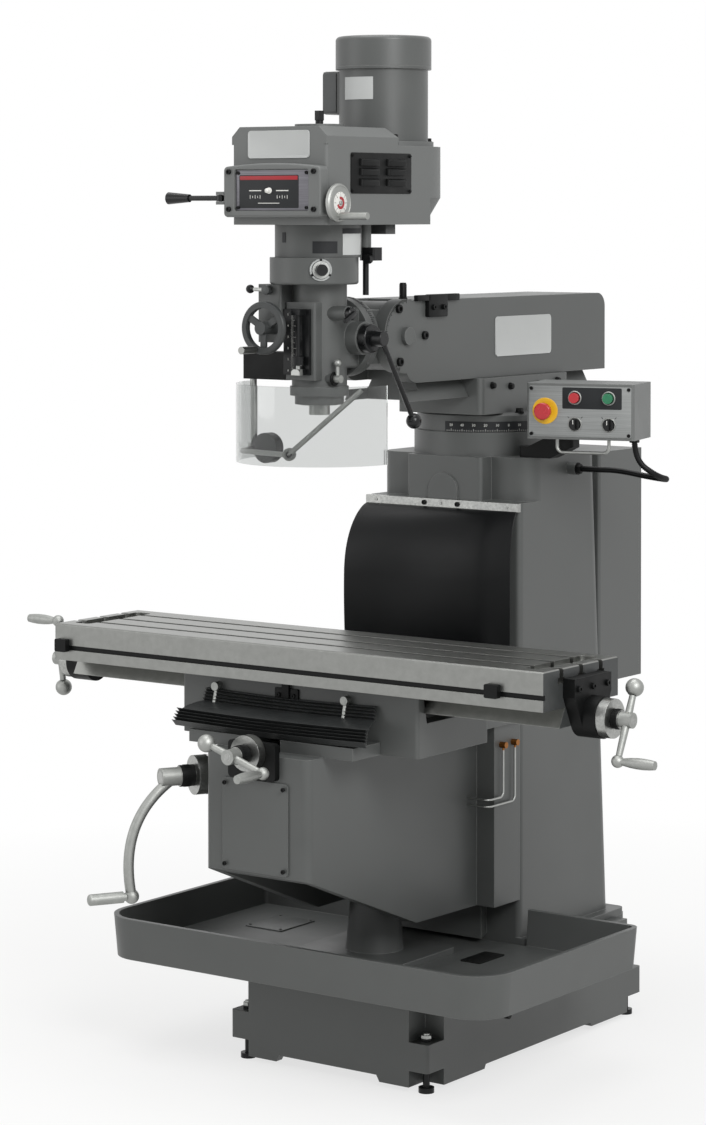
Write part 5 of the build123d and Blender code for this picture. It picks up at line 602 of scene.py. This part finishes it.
addPiece("speedFace", roundedPlate(*speedPanel["face"]), panelFace, "head", faceAt)
addPiece("speedBand", roundedPlate(*speedPanel["band"]), redInk, "head", onFace(0, speedPanel["bandUp"]))
marks = bmesh.new()
for side in (-1, 1):
    barX, barUp = speedMarks["barAt"]
    addBlock(marks, onFace(side * barX, barUp), *speedMarks["bar"], speedMarks["thick"])
    for k in range(speedMarks["ticks"]):
        where = onFace(side * (speedMarks["tickFrom"] + speedMarks["tickStep"] * k), speedMarks["tickUp"])
        addBlock(marks, where, speedMarks["tickWide"], speedMarks["tickTall"][k % 2], speedMarks["thick"])
addBlock(marks, onFace(0, speedMarks["lineUp"]), *speedMarks["line"], speedMarks["thick"])
addPiece("speedMarks", marks, whiteFill, "head")
addPiece("rangePointer", turned(speedPanel["pointer"], 24), whiteFill, "head",
         onFace(*speedPanel["pointerAt"]))
frontScrews("panelScrews", *speedPanel["screws"], "head")
frontScrews("plateScrews", speedPanel["pin"], plateFront, speedPanel["pinX"], speedPanel["pinZ"], "head")

# speed dial on the wheel's face inside a broad rim: white disc, red sector, ticks and plain numbers
speedDial = {
    "at": (160, -690, 2007), "rim": (34.5, 43, 9.4, 3.2), "rimBack": -9.2, "face": 0.8,
    "disc": [(0, 0.8), (23.6, 0.8), (24.6, 0.2), (24.6, -0.5)], "sector": (7.5, 14), "sweep": (-70, 200),
    "ink": 0.25, "steps": 8, "tick": (22.4, 0.9, 2.8), "halfTick": (22.8, 0.6, 2.0), "figure": (5.4, 0.2),
    "figureAt": 17.6, "cap": [(5.5, 0.8), (5.5, 2.6), (4.5, 3.8), (0, 4.2)]}
dialAt, dialUp = facing(speedDial["at"], right), speedDial["face"]
addPiece("speedWheelRim", ring(*speedDial["rim"]), satinPlate, "speed_wheel",
         dialAt @ shift((0, 0, speedDial["rimBack"])))
addPiece("speedDialDisc", turned(speedDial["disc"], 48), dialFace, "speed_wheel", dialAt)
sector = sweptBand(*speedDial["sector"], dialUp, dialUp + speedDial["ink"], *speedDial["sweep"], 40)
addPiece("speedDialSector", sector, redInk, "speed_wheel", dialAt)
numbers = bmesh.new()
for k in range(speedDial["steps"]):
    spin = dialAt @ twist(-2 * pi * k / speedDial["steps"])
    for turn, (out, wide, tall) in ((0, speedDial["tick"]), (pi / speedDial["steps"], speedDial["halfTick"])):
        addBlock(numbers, spin @ twist(turn) @ shift((0, out, dialUp)), wide, tall, speedDial["ink"])
    number = figure(str(k + 1), *speedDial["figure"])
    addShape(numbers, number, spin @ shift((0, speedDial["figureAt"], dialUp)))
addPiece("speedDialNumbers", numbers, blackEnamel, "speed_wheel")
addPiece("speedDialCap", turned(speedDial["cap"], 28), satinPlate, "speed_wheel", dialAt)

# louvred vent plate on each side of the belt housing: pressed hoods, open below
vents = {
    "plate": (236, 92, 1.6, 6), "half": 133, "at": (-497, 2074), "louvre": (72, 16, 8),
    "columns": (-49, 55), "rows": (25, 4, -20), "seat": 1.2, "screw": (3.6, 2.6), "spread": (112, 40)}


def louvre(width, height, out):
    shape = bmesh.new()
    addBlock(shape, Matrix(), width, height, out)
    lip = [e for e in topEdges(shape, out) if max(v.co.y for v in e.verts) > 0]
    soften(shape, lip, out - 1, 4)
    return shape


for name, out, side in (("Right", right, 1), ("Left", left, -1)):
    panel = roundedPlate(*vents["plate"])
    for column in vents["columns"]:
        for row in vents["rows"]:
            addShape(panel, louvre(*vents["louvre"]), shift((column, row, vents["seat"])))
    cornerScrews(panel, vents["screw"], vents["spread"], vents["plate"][2])
    where = facing((side * vents["half"], *vents["at"]), out)
    addPiece("ventPlate" + name, panel, blackEnamel, "head", where)

# plates that follow the round housings: radius, axis, from and to in degrees, low, high, finish
roundPlates = {"gearBlack": (99, (0, -556), 29, 62, 1894, 1921, panelFace),
               "gearBright": (99, (0, -556), 70, 110, 1890, 1938, etchedPlate),
               "gearHeader": (99, (0, -556), 70, 110, 1938, 1950, panelFace),
               # a dark plate painted as the shade in the gear housing's slot
               "gearSlotShade": (99, (0, -556), -18, -11, 1918, 1941, panelFace),
               "motorBright": (104, (0, -300), -23, 22, 2247, 2299, etchedPlate)}
bedded = {"sunk": 0.4, "proud": 1.0, "steps": 18}
for name, (radius, centre, start, stop, low, high, finish) in roundPlates.items():
    inner, outer = radius - bedded["sunk"], radius + bedded["proud"]
    shape = sweptBand(inner, outer, low, high, start, stop, bedded["steps"])
    addPiece(name + "Plate", shape, finish, "head", shift((*centre, 0)))

# motor: hooded cover on the terminal box with its lid screws, flange bolts, black bars painted as the shade
# in the fan cover's top slots
motor = {
    "y": -300, "hood": (88, 101, 42, 9, 7), "hoodAt": (-105.5, -300, 2266), "screw": (3.4, 2.6),
    "spread": (31, 38), "bolt": (7, 9), "boltSpread": (76, 75), "boltUp": 2150, "slots": 24,
    "slot": (6, 46, 0.6), "slotOut": 66, "slotUp": 2394.6}
hood = roundedPlate(*motor["hood"])
cornerScrews(hood, motor["screw"], motor["spread"], motor["hood"][2])
addPiece("terminalHood", hood, darkEnamel, "head", facing(motor["hoodAt"], left))
footBolts = [shift((x, motor["y"] + y, motor["boltUp"])) for x, y in corners(*motor["boltSpread"])]
fittings("motorFootBolts", hexBolt, motor["bolt"], footBolts, "head")
# black bars: painted shade where the fan cover's slots open
slots = bmesh.new()
for k in range(motor["slots"]):
    spin = shift((0, motor["y"], motor["slotUp"])) @ twist(2 * pi * k / motor["slots"])
    addBlock(slots, spin @ shift((0, motor["slotOut"], 0)), *motor["slot"])
addPiece("fanSlotShade", slots, blackEnamel, "head")
beltStud = {
    "at": (92, -388, 2137.5),
    "profile": [(11, 0), (11, 9), (7, 11), (7, 17), (9.5, 19), (9.5, 26), (7, 28), (0, 28)]}
addPiece("beltStud", turned(beltStud["profile"], 20), blackEnamel, "head", shift(beltStud["at"]))
slideBar = {"at": (20, -411, 1936), "size": (160, 38, 22, 3, 1.5)}
addPiece("motorSlideBar", roundedPlate(*slideBar["size"]), darkEnamel, "head", shift(slideBar["at"]))
print("belt housing and motor dressed")

# quill housing: depth scale with ticks and plain numbers
depthScale = {
    "x": -20, "y": -632, "low": 1628, "step": 2.54, "count": 51, "lengths": (15, 10, 6), "tall": 0.45,
    "thick": 0.3, "figure": (7, 0.15), "figureOut": 9}
ticks = bmesh.new()
for k in range(depthScale["count"]):
    length, up = graded(k, depthScale["lengths"]), depthScale["low"] + depthScale["step"] * k
    where = facing((depthScale["x"] + length / 2, depthScale["y"], up), front)
    addBlock(ticks, where, length, depthScale["tall"], depthScale["thick"])
    if k % 10 == 0:
        where = facing((depthScale["x"] - depthScale["figureOut"], depthScale["y"], up), front)
        addShape(ticks, figure(str(k // 10), *depthScale["figure"]), where)
addPiece("depthScaleTicks", ticks, whiteFill, "head")

# knuckle: degree marks on the ram's round nose and on the flange's rim, clevis bolts, flange nuts
knuckle = {
    "pivotY": -357, "pivotZ": 1700, "half": 105, "bolt": (10, 8),
    "bolts": ((-390, 1764), (-285, 1700), (-386, 1642)), "nut": (8, 9), "nutRadius": 75, "nutY": -487,
    "nutAngles": (20, 160, 200, 340)}
nodScale = {"radius": 85.4, "sweep": 160, "step": 3.33, "lengths": (9, 6, 6), "wide": 1.9, "thick": 0.4}
noseMarks = bmesh.new()
for side, first in ((1, 0), (-1, -nodScale["sweep"])):
    where = facing((side * knuckle["half"], knuckle["pivotY"], knuckle["pivotZ"]), (side, 0, 0))
    for k in range(int(nodScale["sweep"] / nodScale["step"]) + 1):
        length = nodScale["lengths"][k % 3]
        spin = where @ twist(radians(first + k * nodScale["step"]))
        onNose = spin @ shift((0, nodScale["radius"] - length / 2, 0))
        addBlock(noseMarks, onNose, nodScale["wide"], length, nodScale["thick"])
addPiece("nodScaleMarks", noseMarks, blackEnamel, "ram")
tiltScale = {
    "y": -465, "radius": 92, "back": 0.3, "sweep": 90, "step": 3, "long": 15, "short": 10, "wide": 1.7,
    "thick": 0.5}
rimMarks = bmesh.new()
rimAt = facing((0, tiltScale["y"], knuckle["pivotZ"]), front)
for k in range(-tiltScale["sweep"], tiltScale["sweep"] + 1, tiltScale["step"]):
    length = tiltScale["long" if k % 15 == 0 else "short"]
    spin = rimAt @ twist(radians(k)) @ shift((0, tiltScale["radius"], -length / 2 - tiltScale["back"]))
    addBlock(rimMarks, spin @ twist(-pi / 2, "X"), tiltScale["wide"], length, tiltScale["thick"])
addPiece("tiltScaleMarks", rimMarks, blackEnamel, "knuckle")
sideScrews("clevisBolts", knuckle["bolt"], knuckle["half"], knuckle["bolts"], "ram")
flangeNuts = []
for a in map(radians, knuckle["nutAngles"]):
    x, z = knuckle["nutRadius"] * cos(a), knuckle["nutRadius"] * sin(a)
    flangeNuts.append(facing((x, knuckle["nutY"], knuckle["pivotZ"] + z), front))
fittings("tiltNuts", hexBolt, knuckle["nut"], flangeNuts, "head")

# quill lock washer, and the black cap with its short lever on the clutch boss
lockWasher = {"at": (63.2, -582, 1610), "size": (9.4, 16, 4.5, 1.2)}
addPiece("quillLockWasher", ring(*lockWasher["size"]), blackEnamel, "head", facing(lockWasher["at"], right))
clutch = {
    "at": (98, -574, 1758), "profile": [(15, -0.5), (15, 11), (12.5, 14), (0, 14.5)],
    "lever": (11, 46, 7, 4.5, 1.5), "leverAt": (0, 17, 12), "leverTurn": 115}
clutchCap = turned(clutch["profile"], 32)
leverAt = twist(radians(clutch["leverTurn"])) @ shift(clutch["leverAt"])
addShape(clutchCap, roundedPlate(*clutch["lever"]), leverAt)
addPiece("clutchCap", clutchCap, phenolic, "head", facing(clutch["at"], right))

# feed rate knob: pale dial ring with three screws round its flange
feedDial = {
    "at": (71.42, -643.42, 1857), "out": (1, -1, 0), "ring": (20.4, 25.6, 3.2, 0.8), "screw": (3, 1.2),
    "screwRadius": 23, "screwAngles": (0, 120, 240)}
knobSeat = facing(feedDial["at"], feedDial["out"])
addPiece("feedDialRing", ring(*feedDial["ring"]), brushedPlate, "head", knobSeat)
screwAt = shift((0, feedDial["screwRadius"], feedDial["ring"][2]))
dialScrews = [knobSeat @ twist(radians(k)) @ screwAt for k in feedDial["screwAngles"]]
fittings("feedDialScrews", capScrew, feedDial["screw"], dialScrews, "head")

# guard: knurled edge on the clamping knob, eye with its screw at the bar's lower bend
guardKnob = {"radius": 33.6, "teeth": 44, "tooth": (3.0, 2.2), "width": 26}
knurl = bmesh.new()
knobAt = facing((guardKnobAt[0], guardKnobAt[1] + guardKnob["width"] / 2, guardKnobAt[2]), front)
for k in range(guardKnob["teeth"]):
    spin = knobAt @ twist(2 * pi * k / guardKnob["teeth"])
    addBlock(knurl, spin @ shift((0, guardKnob["radius"], 0)), *guardKnob["tooth"], guardKnob["width"])
addPiece("guardKnobKnurl", knurl, phenolic, "guard")
guardEye = {
    "at": (43, -722, 1447), "out": (0.45, -0.89, 0), "ring": (7, 14.5, 12, 2.0), "ringUp": -6,
    "screw": (6.8, 4), "screwUp": 3}
eyeAt = facing(guardEye["at"], guardEye["out"])
ringSeat, screwSeat = [eyeAt @ shift((0, 0, guardEye[up])) for up in ("ringUp", "screwUp")]
addPiece("guardEye", ring(*guardEye["ring"]), satinPlate, "guard", ringSeat)
addPiece("guardEyeScrew", capScrew(*guardEye["screw"]), blackEnamel, "guard", screwSeat)
# cap over the trip lever's hub
tripHub = {"inset": 10, "sunk": 3, "z": 1810, "profile": [(10.6, -13), (10.6, 0.6), (9, 1.6), (0, 1.9)]}
tripLow, tripHigh = [[c / mm for c in corner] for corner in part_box("trip_lever")]
hubAt = facing((tripHigh[0] - tripHub["inset"], tripLow[1] + tripHub["sunk"], tripHub["z"]), front)
addPiece("tripHubCap", turned(tripHub["profile"], 28), darkEnamel, "trip_lever", hubAt)
print("head dressed")

# ram: travel stop bracket on the right side and the black post on top
ramPost = {"at": (60, -306, 1782), "profile": [(10.5, 0), (10.5, 4), (8.7, 6), (8.7, 36), (7, 40), (0, 40.5)]}
addPiece("ramPost", turned(ramPost["profile"], 24), blackEnamel, "ram", shift(ramPost["at"]))
# each arm's size across the ram's side, its corner and its middle
travelStop = {
    "side": 105, "thick": 11, "edge": 1.2, "screw": (6.5, 6), "screwY": (-262, -220), "screwZ": 1765,
    "arms": [(78, 53, 4, -241, 1768.5), (52, 16, 3, -178, 1787), (52, 14, 3, -300, 1787)]}
bracket = bmesh.new()
for wide, tall, corner, y, z in travelStop["arms"]:
    arm = roundedPlate(wide, tall, travelStop["thick"], corner, travelStop["edge"])
    addShape(bracket, arm, facing((travelStop["side"], y, z), right))
for y in travelStop["screwY"]:
    where = facing((travelStop["side"] + travelStop["thick"], y, travelStop["screwZ"]), right)
    addShape(bracket, capScrew(*travelStop["screw"]), where)
addPiece("travelStopBracket", bracket, blackEnamel, "ram")

# turret: black degree strip with white ticks and plain numbers, clamping bolts, gib screws
swivel = {
    "y": 125, "inner": 162.6, "outer": 164, "low": 1458, "high": 1483, "sweep": (-1, 112), "ticks": 56,
    "first": 1, "step": 2, "tick": 0.8, "tickUp": 1, "tall": 6, "short": 3.5, "thick": 0.3,
    "figure": (9, 0.2), "figureUp": 16}
strip = sweptBand(swivel["inner"], swivel["outer"], swivel["low"], swivel["high"], *swivel["sweep"], 48)
addPiece("swivelScaleStrip", strip, panelFace, "turret", shift((0, swivel["y"], 0)))
ticks = bmesh.new()
for k in range(swivel["ticks"]):
    a, numbered = radians(swivel["first"] + swivel["step"] * k), k % 5 == 2
    out, tall = (sin(a), -cos(a), 0), swivel["tall" if numbered else "short"]
    onRim = (swivel["outer"] * sin(a), swivel["y"] - swivel["outer"] * cos(a))
    where = facing((*onRim, swivel["low"] + swivel["tickUp"] + tall / 2), out)
    addBlock(ticks, where, swivel["tick"], tall, swivel["thick"])
    # a number every ten degrees, counted both ways from the strip's middle
    if numbered:
        where = facing((*onRim, swivel["low"] + swivel["figureUp"]), out)
        addShape(ticks, figure(str(abs(k // 5 * 10 - 50)), *swivel["figure"]), where)
addPiece("swivelScaleTicks", ticks, whiteFill, "turret")
turretBolts = {"size": (9, 11), "spread": (141, 56), "z": 1503}
boltPlaces = [shift((x, swivel["y"] + y, turretBolts["z"])) for x, y in corners(*turretBolts["spread"])]
fittings("turretBolts", hexBolt, turretBolts["size"], boltPlaces, "turret")
gibScrews = {
    "size": (7, 10), "side": 122.5, "right": ((-24, 1572), (55, 1567), (180, 1567), (265, 1572)),
    "left": ((20, 1567), (230, 1567))}
gibPlaces = [facing((gibScrews["side"], y, z), right) for y, z in gibScrews["right"]]
gibPlaces += [facing((-gibScrews["side"], y, z), left) for y, z in gibScrews["left"]]
fittings("ramGibScrews", hexBolt, gibScrews["size"], gibPlaces, "turret")
print("ram and turret dressed")

# pendant: brushed face, dark sub-plate, screws, stop ring, bezels and selector pointers
pendant = {
    "corner": (263, -90, 1455), "across": (0.9659, 0.2588, 0), "out": (0.2588, -0.9659, 0),
    "size": (261, 131), "margin": 6, "face": (1.0, 5, 0.4), "subPlate": (144, 50, 0.6, 3, 0.2),
    "subPlateAt": (160, 97), "screw": (4.2, 3), "inset": 12, "stopRing": (12.5, 31, 2.2, 0.8),
    "stopAt": (46, 66), "switchX": (119, 201)}
switches = {
    "buttonUp": 98, "buttonBezel": (12.8, 16.5, 5.0, 1.2), "selectorUp": 36,
    "selectorBezel": (13.8, 17, 3.4, 1.0), "markAngles": (-45, 45), "markOut": 23, "mark": (1.4, 5, 0.3),
    "pointer": (1.6, 10, 0.5), "pointerUp": 6, "pointerOut": 19.0}
pendantWide, pendantTall = pendant["size"]
faceOut = pendant["face"][0]


def onPendant(across, up, out=0.0):
    at = Vector(pendant["corner"]) + Vector(pendant["across"]) * across + Vector((0, 0, up))
    return facing(at + Vector(pendant["out"]) * out, pendant["out"])


face = roundedPlate(*[size - 2 * pendant["margin"] for size in pendant["size"]], *pendant["face"])
addPiece("pendantFace", face, brushedPlate, "column", onPendant(pendantWide / 2, pendantTall / 2))
addPiece("pendantSubPlate", roundedPlate(*pendant["subPlate"]), panelFace, "column",
         onPendant(*pendant["subPlateAt"], faceOut))
screwX, screwZ = [(pendant["inset"], size - pendant["inset"]) for size in pendant["size"]]
pendantCorners = [onPendant(x, z, faceOut) for x in screwX for z in screwZ]
fittings("pendantScrews", capScrew, pendant["screw"], pendantCorners, "column")
stopSeat = onPendant(*pendant["stopAt"], faceOut)
addPiece("stopRing", ring(*pendant["stopRing"]), yellowPlastic, "column", stopSeat)
bezels = bmesh.new()
for x in pendant["switchX"]:
    buttonSeat = onPendant(x, switches["buttonUp"], faceOut + pendant["subPlate"][2])
    addShape(bezels, ring(*switches["buttonBezel"]), buttonSeat)
    addShape(bezels, ring(*switches["selectorBezel"]), onPendant(x, switches["selectorUp"], faceOut))
addPiece("buttonBezels", bezels, satinPlate, "column")
pointerMarks = bmesh.new()
for x in pendant["switchX"]:
    for k in switches["markAngles"]:
        spin = onPendant(x, switches["selectorUp"], faceOut) @ twist(radians(k))
        addBlock(pointerMarks, spin @ shift((0, switches["markOut"], 0)), *switches["mark"])
addPiece("selectorMarks", pointerMarks, panelFace, "column")
for name, x in zip(("selector_left", "selector_right"), pendant["switchX"]):
    mark = bmesh.new()
    where = onPendant(x, switches["selectorUp"] + switches["pointerUp"], switches["pointerOut"])
    addBlock(mark, where, *switches["pointer"])
    addPiece(name.replace("_", "") + "Pointer", mark, whiteFill, name)

# column: screws and pins in the apron's strip, cabinet latch
apronStrip = {"screws": ((6, 4), -62, (-48, 48), [1286]), "pins": ((3.4, 2), -62, (-190, 0, 190), [1286])}
frontScrews("stripScrews", *apronStrip["screws"], "column")
frontScrews("stripPins", *apronStrip["pins"], "column", turnedSteel)
doorLatch = {
    "at": (150, 545, 1110), "profile": [(20, 0), (20, 3), (13, 5), (13, 9), (0, 9.5)], "grip": (30, 7, 5),
    "gripUp": 8}
latch = turned(doorLatch["profile"], 28)
addBlock(latch, shift((0, 0, doorLatch["gripUp"])), *doorLatch["grip"])
addPiece("doorLatch", latch, blackEnamel, "cabinet_door", facing(doorLatch["at"], back))
print("column dressed")

# knee: cover screws
kneeCover = {"screws": ((5, 3.4), -798, (-82, 82), (530, 712))}
frontScrews("kneeCoverScrews", *kneeCover["screws"], "knee")

# crank shafts: a point on each axis and its way out, then how far out dial and sleeve stand, with sizes
shafts = {"cross_feed": [((0, 0, 789), front)],
          "table_feed": [((0, -527.5, 900), right), ((0, -527.5, 900), left)],
          "elevating_crank": [((0, -335, 703), (-0.5, -0.866, 0))]}
dials = {"cross_feed": (807, 40), "table_feed": (747, 43), "elevating_crank": (427, 45)}
dialTicks = {"count": 60, "lengths": (10, 7, 4.5), "wide": 0.8, "thick": 0.5, "sunk": 0.2}
sleeves = {"cross_feed": (831.5, 20.6, 31), "table_feed": (771, 21.6, 15), "elevating_crank": (456, 24.6, 33)}
teeth = {"count": 24, "size": (2.6, 1.6), "from": 0.3, "share": 0.4, "wall": 2.4, "edge": 1.0}


def outAlong(axis, out, reach):
    return facing([a + o * reach for a, o in zip(axis, out)], out)


for body, (reach, radius) in dials.items():
    marks = bmesh.new()
    for axis, out in shafts[body]:
        for k in range(dialTicks["count"]):
            spin = outAlong(axis, out, reach) @ twist(2 * pi * k / dialTicks["count"])
            length = graded(k, dialTicks["lengths"])
            onRim = spin @ shift((0, radius - dialTicks["sunk"], 0)) @ twist(-pi / 2, "X")
            addBlock(marks, onRim @ shift((0, length / 2, 0)), dialTicks["wide"], length, dialTicks["thick"])
    addPiece(body.replace("_", "") + "DialTicks", marks, blackEnamel, body)

# black toothed sleeves between each dial and its crank
for body, (reach, radius, length) in sleeves.items():
    shape = bmesh.new()
    for axis, out in shafts[body]:
        seat = outAlong(axis, out, reach)
        addShape(shape, ring(radius - teeth["wall"], radius, length, teeth["edge"]), seat)
        for k in range(teeth["count"]):
            spin = seat @ twist(2 * pi * k / teeth["count"]) @ shift((0, radius, length * teeth["from"]))
            addBlock(shape, spin, *teeth["size"], length * teeth["share"])
    addPiece(body.replace("_", "") + "Sleeve", shape, blackEnamel, body)

# saddle stop bracket in front of the table, a black strip painted as the shade deep in the table's dog
# groove, and its end brackets' bolts
tableStop = {
    "foot": (66, 26, 5, 3, 0.8), "footAt": (-27, -637, 895), "post": (20, 44, 5, 3, 0.8),
    "postAt": (-27, -642, 908), "screw": (5, 4), "screws": ((-48, -642, 893), (-6, -642, 893))}
stopper = bmesh.new()
addShape(stopper, roundedPlate(*tableStop["foot"]), facing(tableStop["footAt"], front))
addShape(stopper, roundedPlate(*tableStop["post"]), facing(tableStop["postAt"], front))
for at in tableStop["screws"]:
    addShape(stopper, capScrew(*tableStop["screw"]), facing(at, front))
addPiece("tableStopBracket", stopper, blackEnamel, "saddle")
# black strip in the dog groove: painted shade standing for the deep slot's shadow
grooveShade = {"at": (0, -672, 954.5), "size": (1370, 10.8, 4.5)}
groove = bmesh.new()
addBlock(groove, facing(grooveShade["at"], front), *grooveShade["size"])
addPiece("dogSlotPaintedShade", groove, blackEnamel, "table")
endBolts = {"size": (7, 6), "half": 716, "spots": ((-586, 966), (-529, 966), (-470, 966))}
sideScrews("endBracketBolts", endBolts["size"], endBolts["half"], endBolts["spots"], "table")

# base: lid and strainer in the tray, drain pipe
tray = {
    "lid": (110, 140, 3, 4, 1), "lidAt": (-365, -220, 250), "lidScrew": (4, 2.4), "lidSpread": (46, 60),
    "strainer": (56, 106, 3, 4, 0.8), "strainerAt": (232, -228, 250), "drainAt": (280, -287, 145.5),
    "drain": [(0, -6), (6.5, -6), (6.5, 52), (8.5, 53), (8.5, 66), (7, 67), (0, 67)]}
lid = roundedPlate(*tray["lid"])
cornerScrews(lid, tray["lidScrew"], tray["lidSpread"], tray["lid"][2])
addPiece("trayLid", lid, castEnamel, "column", shift(tray["lidAt"]))
addPiece("trayStrainer", roundedPlate(*tray["strainer"]), blackEnamel, "column", shift(tray["strainerAt"]))
addPiece("drainPipe", turned(tray["drain"], 24), blackEnamel, "column", facing(tray["drainAt"], right))
print("knee, table and base dressed")

# studio: a pale floor that keeps the shadow and fades to white far off, a white surround for camera, mirror
# and glass rays, and three soft lamps
studio = {
    "floorSize": 40, "floorTone": "#f2f2f0", "white": 0.72, "near": 0.9, "far": 2.8, "surround": 0.4,
    "aim": (0, -0.3, 1.1)}


def seenRays(tree):
    rays = addNode(tree, "ShaderNodeLightPath").outputs
    seen = calculate(tree, "ShaderNodeMath", "MAXIMUM", rays["Is Camera Ray"], rays["Is Glossy Ray"])[0]
    return calculate(tree, "ShaderNodeMath", "MAXIMUM", seen, rays["Is Transmission Ray"])[0]


floorShape = bmesh.new()
bmesh.ops.create_grid(floorShape, x_segments=1, y_segments=1, size=studio["floorSize"])
floorMesh = bpy.data.meshes.new("studioFloor")
floorShape.to_mesh(floorMesh)
floorShape.free()
floor = bpy.data.objects.new("studioFloor", floorMesh)
scene.collection.objects.link(floor)
# matt floor paint, its whiteness growing with the distance from the machine
floorPaint = bpy.data.materials.new("paleFloorPaint")
tree = emptyTree(floorPaint)
place = addNode(tree, "ShaderNodeTexCoord").outputs["Object"]
away = calculate(tree, "ShaderNodeVectorMath", "LENGTH", place)[1]
white = remap(tree, away, studio["near"], studio["far"], studio["white"], 1.0)
share = calculate(tree, "ShaderNodeMath", "MULTIPLY", seenRays(tree), white)[0]
matt = addNode(tree, "ShaderNodeBsdfDiffuse", {}, {"Color": hexColour(studio["floorTone"])}).outputs[0]
glow = addNode(tree, "ShaderNodeEmission", {}, {"Color": (1, 1, 1, 1), "Strength": 1.0}).outputs[0]
mixed = addNode(tree, "ShaderNodeMixShader", {}, {0: share, 1: matt, 2: glow}).outputs[0]
addNode(tree, "ShaderNodeOutputMaterial", {}, {"Surface": mixed})
floorMesh.materials.append(floorPaint)
world = bpy.data.worlds.new("whiteSurround")
scene.world = world
tree = emptyTree(world)
power = remap(tree, seenRays(tree), 0.0, 1.0, studio["surround"], 1.0)
sky = addNode(tree, "ShaderNodeBackground", {}, {"Color": (1, 1, 1, 1), "Strength": power}).outputs[0]
addNode(tree, "ShaderNodeOutputWorld", {}, {"Surface": sky})
# where each lamp hangs, its size in metres and its watts
lamps = {"keyLamp": ((4.7, -3.1, 4.3), 2.6, 230), "fillLamp": ((-3.6, -4.6, 2.6), 3.0, 38),
         "topLamp": ((-0.4, -0.6, 5.6), 3.4, 120)}
for name, (at, size, watts) in lamps.items():
    light = bpy.data.lights.new(name, "AREA")
    light.size = size
    light.energy = watts
    lamp = bpy.data.objects.new(name, light)
    lamp.location = at
    lamp.rotation_euler = (Vector(at) - Vector(studio["aim"])).to_track_quat("Z", "Y").to_euler()
    scene.collection.objects.link(lamp)
